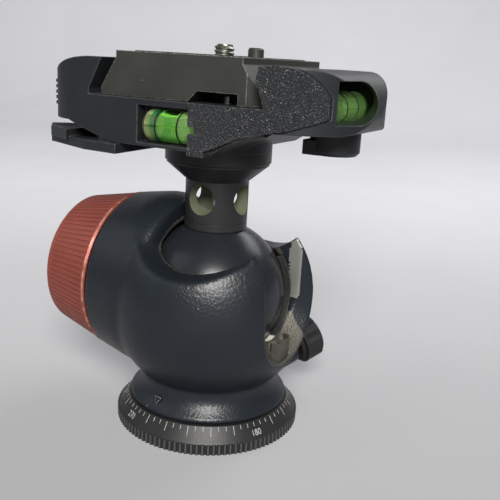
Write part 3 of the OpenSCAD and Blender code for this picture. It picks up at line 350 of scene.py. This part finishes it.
# painted highlight: the knurl tips are painted paler, toward brown
painted_tip_highlight = sum_node(tree, "MULTIPLY", band(tree, radius, BASE_R - 0.00012, BASE_R - 0.00002), 0.35)
lay_marks_and_painted_light(tree, shader, last, painted_tip_highlight, (0.16, 0.155, 0.145))
dress("base_disc", base_black)

# ---- Dial on the base -----------------------------------------------------
# Fine pale graduation engraved round the cone every 5 degrees, a longer line
# every 15, and a number at each quarter. The numbers run clockwise from above.

CONE_LEAN = math.atan2(BASE_H - BAND_H, BASE_R - KNURL - CONE_TOP_R)
DIAL_ZERO = math.radians(153)
MARK_LIFT = 0.02 * MM

mark_white = coated("dial_mark", (0.34, 0.34, 0.33), (0.5, 0.5, 0.48), 0.6, 6000, 0.00003)[0]


def cone_place(angle, down):
    """Frame on the cone's skin: X along the rim, Y up the slope, Z outwards."""
    slope = Vector((-math.cos(CONE_LEAN), 0, math.sin(CONE_LEAN)))
    out = Vector((math.sin(CONE_LEAN), 0, math.cos(CONE_LEAN)))
    spot = Vector((CONE_TOP_R, 0, BASE_H)) - slope * down + out * MARK_LIFT
    turn = Matrix.Rotation(angle, 4, "Z")
    local = Matrix((Vector((0, 1, 0)), slope, out)).transposed().to_4x4()
    return turn @ Matrix.Translation(spot) @ local


def joined(name, parts):
    """Joins finished parts into one object at the origin."""
    deselect()
    for part in parts:
        part.select_set(True)
    bpy.context.view_layer.objects.active = parts[0]
    bpy.ops.object.join()
    whole = bpy.context.object
    whole.name = name
    whole.data.name = name
    return whole


def set_in_place(piece, place):
    """Writes a piece's place into its mesh and leaves its object at the origin."""
    piece.data.transform(place @ piece.matrix_basis)
    piece.matrix_basis = Matrix.Identity(4)


TICKS = 72
TICK_STEP = math.radians(5)
LONG_TICK = 2.9 * MM
SHORT_TICK = 1.35 * MM
TICK_GAP = 0.25 * MM
NUMBER_DOWN = 4.5 * MM

ticks = []
for index in range(TICKS):
    long = index % 3 == 0 and index % 18 != 0
    reach = LONG_TICK if long else SHORT_TICK
    deselect()
    bpy.ops.mesh.primitive_cube_add(size=1)
    tick = bpy.context.object
    tick.scale = (0.2 * MM, reach, 0.04 * MM)
    set_in_place(tick, cone_place(DIAL_ZERO - TICK_STEP * index, TICK_GAP + reach / 2))
    tick.data.materials.append(mark_white)
    ticks.append(tick)
dial_lines = joined("dial_lines", ticks)
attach(dial_lines, "base")

numbers = []
for quarter, words in enumerate(("0", "90", "180", "270")):
    deselect()
    bpy.ops.object.text_add()
    number = bpy.context.object
    number.data.body = words
    number.data.align_x = "CENTER"
    number.data.size = 2.9 * MM
    number.data.extrude = 0.015 * MM
    number.data.resolution_u = 3
    bpy.ops.object.convert(target="MESH")
    number = bpy.context.object
    number.scale = (0.85, 1, 1)
    set_in_place(number, cone_place(DIAL_ZERO - math.radians(90 * quarter), NUMBER_DOWN))
    number.data.materials.clear()
    number.data.materials.append(mark_white)
    numbers.append(number)
dial_numbers = joined("dial_numbers", numbers)
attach(dial_numbers, "base")

# ---- Spindle, washer, ring and glide ring ---------------------------------
# Turned steel spindle with its tapped foot, a brass washer and a spring ring
# that keep the housing down, and the brown acetal ring that shows in the gap.


def turned_metal(name, colour, rough, point, direction, pitch=5200):
    """Bare metal with the fine rings that a lathe tool leaves round its axis."""
    material, tree, shader = new_material(name, colour, rough, 1.0)
    radius, run = axis_distance(tree, point, direction)
    both = sum_node(tree, "ADD", radius, run)
    wave = sum_node(tree, "SINE", sum_node(tree, "MULTIPLY", both, pitch * 6.28))
    grain = group_node(tree, grain_group, Cell=3000, Roughen=0.6, Dust_limit=0.9)
    height = sum_node(tree, "ADD", wave, grain.outputs["Height"])
    bump = tree.nodes.new("ShaderNodeBump")
    bump.inputs["Distance"].default_value = 0.00001
    tree.links.new(height, bump.inputs["Height"])
    tree.links.new(bump.outputs["Normal"], shader.inputs["Normal"])
    uneven = tree.nodes.new("ShaderNodeMapRange")
    uneven.inputs["To Min"].default_value = rough - 0.08
    uneven.inputs["To Max"].default_value = rough + 0.14
    tree.links.new(grain.outputs["Tone"], uneven.inputs["Value"])
    tree.links.new(uneven.outputs["Result"], shader.inputs["Roughness"])
    return material


UP = (0.0, 0.0, 1.0)
spindle_steel = turned_metal("spindle_steel", (0.42, 0.43, 0.44), 0.34, (0, 0, 0), UP)
washer_brass = turned_metal("washer_brass", (0.52, 0.38, 0.16), 0.36, (0, 0, 0), UP)
for name in ("pan_spindle", "retaining_ring", "spring_seat", "disc_springs"):
    dress(name, spindle_steel)
dress("retaining_washer", washer_brass)
glide_brown = coated(
    "glide_acetal", (0.05, 0.032, 0.02), (0.075, 0.05, 0.032), 0.45, 4000, 0.00002
)[0]
dress("glide_ring", glide_brown)

# ---- Housing --------------------------------------------------------------
# Die-cast body with a thick black orange-peel paint that rounds its outer
# edges. The hood's inner rim has a thin pale line, a painted highlight, and
# inside the notch the casting is bare and rough, with milled side walls.

BALL = Vector((0, 0, 44 * MM))
SHELL = Vector((0, 0, 42.6 * MM))
SHELL_R = 34.3 * MM
SADDLE = Vector((5 * MM, 0, 82 * MM))
SADDLE_R = 26 * MM
NOTCH_R = 14.5 * MM
CAVITY_R = 26.3 * MM
MOUTH_R = 25.2 * MM
BARREL_R = 32.6 * MM
BARREL_FROM = 8 * MM
BARREL_END_R = 28 * MM
BARREL_TO = 31.3 * MM
BARREL_TAPER = (BARREL_R - BARREL_END_R) / (BARREL_TO - BARREL_FROM)
LOCK_LEAN = math.radians(2)
LOCK_OUT = Vector((-math.cos(LOCK_LEAN), 0, math.sin(LOCK_LEAN)))


def cad_copy(node, name):
    """A free copy of a CAD node's mesh, with its doubles merged."""
    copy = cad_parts[node].copy()
    copy.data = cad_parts[node].data.copy()
    copy.name = name
    copy.parent = None
    for key in list(copy.keys()):
        del copy[key]
    bpy.context.scene.collection.objects.link(copy)
    deselect()
    copy.select_set(True)
    bpy.context.view_layer.objects.active = copy
    bpy.ops.object.mode_set(mode="EDIT")
    bpy.ops.mesh.select_all(action="SELECT")
    bpy.ops.mesh.remove_doubles(threshold=0.000002)
    bpy.ops.object.mode_set(mode="OBJECT")
    copy.data.materials.clear()
    return copy


def apply_modifier(piece, kind, **values):
    """Adds a modifier with the given values and applies it."""
    modifier = piece.modifiers.new(kind.lower(), kind)
    for name, value in values.items():
        setattr(modifier, name, value)
    deselect()
    piece.select_set(True)
    bpy.context.view_layer.objects.active = piece
    bpy.ops.object.modifier_apply(modifier=modifier.name)


def smooth_step(value):
    """0 to 1 with soft ends."""
    value = min(1.0, max(0.0, value))
    return value * value * (3 - 2 * value)


VOXEL = 0.6 * MM
FOOT_TOP = 10 * MM
SKIN_END = 30.2 * MM
NOTCH_FROM = 17 * MM
NOTCH_FLARE = 2.5 * MM
NOTCH_DEPTH = 18.5 * MM
LIP_REACH = 7 * MM
CREASE_REACH = 4.5 * MM

body = cad_copy("housing", "cast_housing")
apply_modifier(body, "REMESH", mode="VOXEL", voxel_size=VOXEL)
soft_edges = body.vertex_groups.new(name="soft_edges")
skin = body.vertex_groups.new(name="skin")
for vertex in body.data.vertices:
    p = vertex.co
    along = (p - BALL).dot(LOCK_OUT)
    from_lock = (p - BALL - LOCK_OUT * along).length
    off_shell = abs((p - SHELL).length - SHELL_R)
    off_saddle = abs(math.hypot(p.x - SADDLE.x, p.z - SADDLE.z) - SADDLE_R)
    off_barrel = abs(from_lock - BARREL_R + (along - BARREL_FROM) * BARREL_TAPER)
    outer = (p - BALL).length > CAVITY_R + 0.2 * MM and p.z > FOOT_TOP and along < SKIN_END
    beside = p.x > NOTCH_FROM and abs(p.y) < NOTCH_R + NOTCH_FLARE
    in_notch = beside and p.z > BALL.z - NOTCH_DEPTH
    if not outer or in_notch:
        continue
    skin.add([vertex.index], 1.0, "REPLACE")
    lip = 1 - max(off_shell, off_saddle) / LIP_REACH
    crease = 1 - max(off_shell, off_barrel) / CREASE_REACH
    weight = smooth_step(max(lip * 1.6, crease * 1.4 if along > 4 * MM else 0.0))
    if weight > 0.01:
        soft_edges.add([vertex.index], weight, "REPLACE")
apply_modifier(body, "SMOOTH", factor=0.5, iterations=45, vertex_group="soft_edges")
apply_modifier(body, "SMOOTH", factor=0.5, iterations=8, vertex_group="skin")
apply_modifier(body, "SMOOTH", factor=0.5, iterations=2)
deselect()
body.select_set(True)
bpy.context.view_layer.objects.active = body
bpy.ops.object.shade_smooth()

housing_paint, tree, shader, last = coated(
    "housing_paint", (0.0085, 0.0115, 0.0155), (0.0115, 0.015, 0.0195), 0.36, 1250, 0.00011,
    roughen=0.35, spread=0.05,
)
from_lock, along = axis_distance(tree, tuple(BALL), tuple(LOCK_OUT))
where = tree.nodes.new("ShaderNodeTexCoord")
from_ball = tree.nodes.new("ShaderNodeVectorMath")
from_ball.operation = "DISTANCE"
from_ball.inputs[1].default_value = BALL
tree.links.new(where.outputs["Object"], from_ball.inputs[0])
# painted highlight: a thin pale line round the hood's inner rim
painted_rim_highlight = sum_node(
    tree, "MULTIPLY",
    band(tree, from_ball.outputs["Value"], MOUTH_R + 0.75 * MM, MOUTH_R + 0.35 * MM),
    sum_node(tree, "MULTIPLY", band(tree, along, 11.6 * MM, 10.9 * MM),
             band(tree, along, 5 * MM, 8 * MM)),
)
painted_rim_highlight = sum_node(tree, "MULTIPLY", painted_rim_highlight, 0.8)
lay_marks_and_painted_light(tree, shader, last, painted_rim_highlight, (0.4, 0.42, 0.44))

raw_cast = coated(
    "raw_casting", (0.03, 0.029, 0.026), (0.2, 0.19, 0.16), 0.5, 1500, 0.00035,
    metal=0.7, dust=0.85, roughen=0.7,
)[0]
bare_band = coated(
    "milled_band", (0.17, 0.18, 0.16), (0.25, 0.26, 0.24), 0.45, 2200, 0.00005,
    metal=0.4, dust=0.9,
)[0]
RAW = 1
BARE = 2
WALL_BAND = (21 * MM, 26 * MM)
for material in (housing_paint, raw_cast, bare_band):
    body.data.materials.append(material)
for face in body.data.polygons:
    p = face.center
    inside = (p - BALL).length < CAVITY_R + 0.25 * MM
    ring = math.hypot(p.y, p.z - BALL.z)
    floor_of_slot = p.x > 14 * MM and ring < NOTCH_R + 5 * MM and p.z < BALL.z - 5 * MM
    on_wall = abs(abs(p.y) - NOTCH_R) < 0.35 * MM and abs(face.normal.y) > 0.85
    if on_wall and WALL_BAND[0] < p.x < WALL_BAND[1] and p.z > BALL.z - 2 * MM:
        face.material_index = BARE
    elif inside or (floor_of_slot and abs(p.y) < 13 * MM):
        face.material_index = RAW
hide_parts("housing")
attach(body, "housing")

# ---- Index mark on the housing's foot -------------------------------------
# A small triangle engraved in the foot above the dial, its floor painted darker
# than the housing as painted shade and its edges painted pale as a painted
# highlight.

# painted shade on the dark floor and a painted highlight on the pale edges
index_painted_shade_and_highlight = coated("index_floor", (0.006, 0.006, 0.007), (0.01, 0.01, 0.011), 0.5, 3000, 0.00002,
                    edge=0.00025, worn=2.0, bare_and_glint_colour=(0.5, 0.5, 0.48))[0]
INDEX_AT = math.radians(-100)
deselect()
bpy.ops.mesh.primitive_cylinder_add(vertices=3, radius=1.5 * MM, depth=0.3 * MM)
index_mark = bpy.context.object
index_mark.name = "index_mark"
index_lean = math.radians(68)
index_place = (
    Matrix.Rotation(INDEX_AT, 4, "Z")
    @ Matrix.Translation((24.9 * MM, 0, 12.6 * MM))
    @ Matrix.Rotation(index_lean, 4, "Y")
    @ Matrix.Rotation(math.radians(-90), 4, "Z")
)
set_in_place(index_mark, index_place)
index_mark.data.materials.append(index_painted_shade_and_highlight)
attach(index_mark, "housing")

# ---- Seats and stop inside the housing ------------------------------------
# Black nylon liner and off-white cup round the ball, and the small bare metal
# stop with its two screws in the floor of the notch.

# painted glints: the liner's edges are painted paler, toward grey
liner_black = coated(
    "liner_nylon", (0.014, 0.0145, 0.015), (0.03, 0.031, 0.031), 0.42, 2600, 0.00008,
    dust=0.88, worn=0.8, bare_and_glint_colour=(0.2, 0.2, 0.19),
)[0]
dress("seat_liner", liner_black)
cup_white = coated("cup_acetal", (0.55, 0.53, 0.46), (0.66, 0.64, 0.56), 0.45, 2600, 0.00004)[0]
for name in ("ball_cup", "clamp_shoe", "pan_pad"):
    dress(name, cup_white)
dress("notch_stop", raw_cast)
small_steel = turned_metal("screw_steel", (0.4, 0.4, 0.4), 0.36, (0, 0, 0), UP)
bushing_brass = turned_metal("bushing_brass", (0.5, 0.37, 0.16), 0.36, tuple(BALL), tuple(LOCK_OUT))
dress("stop_screws", small_steel)
dress("lock_bushing", bushing_brass)
dress("pan_bushing", bushing_brass)
dress("friction_plunger", bushing_brass)

# ---- Ball, stem foot and neck ---------------------------------------------
# Polished black ball; the neck above it is turned and satin black, with two
# crossed holes whose bores show bare greenish metal, and a pale line painted
# round its foot edge as a painted highlight.

ball_black = coated(
    "ball_black", (0.01, 0.012, 0.0155), (0.016, 0.018, 0.022), 0.26, 5200, 0.000012
)[0]
dress("ball", ball_black)
neck_black, tree, shader, last = coated(
    "neck_black", (0.012, 0.013, 0.0145), (0.02, 0.021, 0.022), 0.34, 5200, 0.00003
)
radius, height = axis_distance(tree, (0, 0, 0), (0, 0, 1))
# painted highlight: a thin pale ring round the neck's foot edge
painted_foot_highlight = sum_node(
    tree, "MULTIPLY", band(tree, height, 65.95 * MM, 65.8 * MM),
    band(tree, radius, 9.9 * MM, 10.15 * MM),
)
painted_foot_highlight = sum_node(tree, "MULTIPLY", painted_foot_highlight, 0.8)
last = lay_marks_and_painted_light(tree, shader, last, painted_foot_highlight, (0.45, 0.44, 0.42))
in_bore = sum_node(
    tree, "MULTIPLY", band(tree, radius, 10.1 * MM, 9.9 * MM),
    sum_node(tree, "MULTIPLY", band(tree, height, 70.6 * MM, 70.9 * MM),
             band(tree, height, 81.4 * MM, 81.1 * MM)),
)
lay_marks_and_painted_light(tree, shader, last, in_bore, (0.16, 0.17, 0.115))
dress("neck", neck_black)
dress("stem_foot", neck_black)

# ---- Lock knob ------------------------------------------------------------
# Brick-red anodised ring with straight ribs, its rib tips worn bright at the
# large end, on a black hub with a dished face and three screws.

RING_START = 32.3 * MM
RING_W = 20.2 * MM
RING_R = 27.6 * MM
RING_END_R = 23.3 * MM

ring_red, tree, shader, last = coated(
    "ring_red", (0.2, 0.046, 0.032), (0.3, 0.076, 0.056), 0.4, 3200, 0.00004,
    metal=0.25,
)
radius, run = axis_distance(tree, tuple(BALL), tuple(LOCK_OUT))
drop = sum_node(tree, "MULTIPLY", sum_node(tree, "SUBTRACT", run, RING_START),
                (RING_R - RING_END_R) / RING_W)
above = sum_node(tree, "ADD", radius, drop)
rib_tip = band(tree, above, RING_R - 0.35 * MM, RING_R - 0.02 * MM)
# painted shade: the grooves between the ribs are painted darker
painted_groove_shade = band(tree, above, RING_R - 0.3 * MM, RING_R - 0.6 * MM)
painted_groove_shade = sum_node(tree, "MULTIPLY", painted_groove_shade, 0.75)
last = lay_marks_and_painted_light(tree, shader, last, painted_groove_shade, (0.05, 0.012, 0.01))
patch = tree.nodes.new("ShaderNodeTexNoise")
patch.inputs["Scale"].default_value = 420
where = tree.nodes.new("ShaderNodeTexCoord")
tree.links.new(where.outputs["Object"], patch.inputs["Vector"])
edge_near = band(tree, run, RING_START + 1.3 * MM, RING_START + 0.6 * MM)
worn = sum_node(tree, "MULTIPLY", sum_node(tree, "MULTIPLY", rib_tip, edge_near),
                band(tree, patch.outputs["Fac"], 0.42, 0.6))
lay_marks_and_painted_light(tree, shader, last, sum_node(tree, "MULTIPLY", worn, 0.7), (0.5, 0.3, 0.24))
dress("lock_ring", ring_red)
hub_black = coated(
    "hub_black", (0.012, 0.0125, 0.0135), (0.02, 0.02, 0.021), 0.42, 4200, 0.00004
)[0]
for name in ("knob_hub", "knob_face", "friction_knob"):
    dress(name, hub_black)
knob_steel = turned_metal("knob_steel", (0.4, 0.41, 0.42), 0.34, tuple(BALL), tuple(LOCK_OUT))
for name in ("hub_screws", "lock_screw", "friction_spring"):
    dress(name, knob_steel)

# ---- Pan knob -------------------------------------------------------------
# Small scalloped nylon knob on its steel screw, low at the back on the right.

pan_black = coated(
    "pan_nylon", (0.011, 0.0115, 0.0125), (0.017, 0.018, 0.019), 0.46, 1900, 0.00006
)[0]
dress("pan_knob", pan_black)
dress("pan_screw", small_steel)

# ---- Platform body --------------------------------------------------------
# Cast and satin-black painted body of the quick release, with slightly
# rubbed edges, and the steel screws that hold it to the neck.

platform_paint = coated(
    "platform_paint", (0.0105, 0.0125, 0.0155), (0.016, 0.018, 0.021), 0.38, 3000, 0.00004,
    spread=0.06, edge=0.0006, worn=0.35, bare_and_glint_colour=(0.2, 0.2, 0.2),
)[0]
dress("receiver", platform_paint)
for name in ("flange_screws", "mount_screw", "catch_screw", "lever_pin"):
    dress(name, small_steel)

# ---- Nose cover -----------------------------------------------------------
# Moulded cover with a coarse leather-like grain whose tops are painted paler
# as a painted sparkle, and a crease whose edge is painted bright as a painted
# highlight.

PEBBLE_SCALE = 1700
WANDER = 0.0011

# painted highlight: the cover's edges, the crease among them, are painted paler
nose_grain, tree, shader, last = coated(
    "nose_grain", (0.0125, 0.014, 0.017), (0.018, 0.0195, 0.022), 0.3, 1500, 0.00002,
    dust=0.995, roughen=0.35, spread=0.04, edge=0.0005, worn=0.4, bare_and_glint_colour=(0.2, 0.21, 0.21),
)
where = tree.nodes.new("ShaderNodeTexCoord")
pebbles = tree.nodes.new("ShaderNodeTexVoronoi")
pebbles.feature = "DISTANCE_TO_EDGE"
pebbles.inputs["Scale"].default_value = PEBBLE_SCALE
pebbles.inputs["Randomness"].default_value = 1
wander = tree.nodes.new("ShaderNodeTexNoise")
wander.inputs["Scale"].default_value = 900
wander.inputs["Detail"].default_value = 2
tree.links.new(where.outputs["Object"], wander.inputs["Vector"])
shift = tree.nodes.new("ShaderNodeVectorMath")
shift.operation = "MULTIPLY_ADD"
shift.inputs[1].default_value = (WANDER, WANDER, WANDER)
tree.links.new(wander.outputs["Color"], shift.inputs[0])
tree.links.new(where.outputs["Object"], shift.inputs[2])
tree.links.new(shift.outputs["Vector"], pebbles.inputs["Vector"])
rise = band(tree, pebbles.outputs["Distance"], 0.0, 0.28)
pebble_bump = tree.nodes.new("ShaderNodeBump")
pebble_bump.inputs["Distance"].default_value = 0.00016
tree.links.new(rise, pebble_bump.inputs["Height"])
soft = group_node(tree, edge_group, Radius=0.0005)
tree.links.new(soft.outputs["Normal"], pebble_bump.inputs["Normal"])
tree.links.new(pebble_bump.outputs["Normal"], shader.inputs["Normal"])
# painted sparkle: the tops of the grain are painted paler
painted_tip_highlight = sum_node(tree, "MULTIPLY", band(tree, pebbles.outputs["Distance"], 0.2, 0.42), 0.25)
lay_marks_and_painted_light(tree, shader, last, painted_tip_highlight, (0.12, 0.125, 0.125))
dress("nose_cover", nose_grain)

# ---- Level vials ----------------------------------------------------------
# Clear acrylic tubes with yellow-green fluid, a bubble on top and two black
# rings, one in the front window and one in the platform's end.

vial_clear, tree, shader = new_material("vial_acrylic", (0.9, 0.96, 0.8), 0.08)
shader.inputs["Transmission Weight"].default_value = 1.0
shader.inputs["IOR"].default_value = 1.3


def tinted_fluid(name, steps):
    """Fluid whose green changes along X at the given places, for its plug and bubble, with a faint
    painted glow in its own colour.
    """
    material, tree, shader = new_material(name, steps[0][1], 0.15)
    where = tree.nodes.new("ShaderNodeTexCoord")
    along = tree.nodes.new("ShaderNodeSeparateXYZ")
    tree.links.new(where.outputs["Object"], along.inputs["Vector"])
    run = tree.nodes.new("ShaderNodeMapRange")
    run.inputs["From Min"].default_value = steps[0][0] * MM
    run.inputs["From Max"].default_value = steps[-1][0] * MM
    tree.links.new(along.outputs["X"], run.inputs["Value"])
    ramp = tree.nodes.new("ShaderNodeValToRGB")
    length = steps[-1][0] - steps[0][0]
    ramp.color_ramp.elements[0].color = (*steps[0][1], 1)
    ramp.color_ramp.elements[1].color = (*steps[-1][1], 1)
    for place, colour in steps[1:-1]:
        ramp.color_ramp.elements.new((place - steps[0][0]) / length).color = (*colour, 1)
    tree.links.new(run.outputs["Result"], ramp.inputs["Fac"])
    tree.links.new(ramp.outputs["Color"], shader.inputs["Base Color"])
    # painted glow: the fluid gives off its own colour faintly
    tree.links.new(ramp.outputs["Color"], shader.inputs["Emission Color"])
    shader.inputs["Emission Strength"].default_value = 0.1
    return material


PLUG = (0.5, 0.55, 0.3)
DEEP = (0.03, 0.3, 0.09)
BRIGHT = (0.26, 0.72, 0.12)
PALE = (0.45, 0.72, 0.3)
fluids = {
    "front": tinted_fluid("front_fluid_green", [
        (-10.2, PLUG), (-7.2, PLUG), (-6.6, DEEP), (-4.4, DEEP),
        (-3.9, BRIGHT), (1.5, BRIGHT), (4.0, PALE)]),
    "end": tinted_fluid("end_fluid_green", [(30, BRIGHT), (36, PALE), (46, PALE)]),
}
ring_black = coated(
    "vial_ring_ink", (0.006, 0.006, 0.006), (0.01, 0.01, 0.01), 0.4, 5000, 0.00001
)[0]
for side in ("front", "end"):
    dress(side + "_vial", vial_clear)
    dress(side + "_fluid", fluids[side])
    dress(side + "_rings", ring_black)

# ---- Clamp jaw, cam, springs and button -----------------------------------
# Bare cast jaw and steel cam under the plate, and the ribbed nylon button
# wrapped round the platform's left end.

dress("clamp_jaw", raw_cast)
for name in ("jaw_springs", "button_spring", "trigger_spring", "twist_spring", "lever_cam",
             "trigger_pin", "screw_clip"):
    dress(name, small_steel)
dress("release_button", pan_black)

# ---- Quick lever and safety catch -----------------------------------------
# Cast lever with its raised, dished thumb pad, and the rotary catch under the
# platform's right end, both satin black.

lever_paint = coated(
    "lever_paint", (0.011, 0.0125, 0.0145), (0.018, 0.02, 0.022), 0.4, 2600, 0.00005,
    edge=0.0006, worn=0.3, bare_and_glint_colour=(0.2, 0.2, 0.2),
)[0]
dress("quick_lever", lever_paint)
dress("safety_catch", lever_paint)

# ---- Quick-release plate --------------------------------------------------
# Cast plate in worn grey-olive paint with two black rubber strips on top.

plate_paint = coated(
    "plate_paint", (0.022, 0.0225, 0.02), (0.036, 0.037, 0.033), 0.42, 2600, 0.00006,
    edge=0.0005, worn=0.9, bare_and_glint_colour=(0.3, 0.3, 0.28),
)[0]
dress("quick_plate", plate_paint)
strip_rubber = coated(
    "strip_rubber", (0.014, 0.014, 0.013), (0.022, 0.022, 0.02), 0.7, 3000, 0.00008
)[0]
dress("plate_pads", strip_rubber)

# ---- Camera screw and anti-twist pin --------------------------------------
# Steel camera screw with its thread above the plate, and the dark sprung pin.

screw_steel = turned_metal("camera_screw_steel", (0.33, 0.335, 0.3), 0.34, (0, 0.0007, 0), UP)
THREAD_PITCH = 1.27 * MM
THREAD_FOOT = 119.5 * MM
THREAD_DEPTH = 0.55 * MM
CORE_R = 2.4 * MM
SCREW_Y = 0.7 * MM
threaded = cad_copy("camera_screw", "camera_screw_thread")
apply_modifier(threaded, "REMESH", mode="VOXEL", voxel_size=0.11 * MM)
for vertex in threaded.data.vertices:
    x, y = vertex.co.x, vertex.co.y - SCREW_Y
    radius = math.hypot(x, y)
    if vertex.co.z > THREAD_FOOT and radius > CORE_R:
        turn = (vertex.co.z / THREAD_PITCH + math.atan2(y, x) / math.tau) % 1.0
        shrink = 1 - THREAD_DEPTH * (1 - abs(2 * turn - 1)) / radius
        vertex.co.x = x * shrink
        vertex.co.y = y * shrink + SCREW_Y
deselect()
threaded.select_set(True)
bpy.context.view_layer.objects.active = threaded
bpy.ops.object.shade_smooth_by_angle(angle=math.radians(40))
threaded.data.materials.append(screw_steel)
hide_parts("camera_screw")
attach(threaded, "camera_screw")
pin_dark = coated(
    "pin_dark", (0.04, 0.038, 0.034), (0.075, 0.072, 0.062), 0.38, 3500, 0.00003, metal=0.5
)[0]
dress("twist_pin", pin_dark)
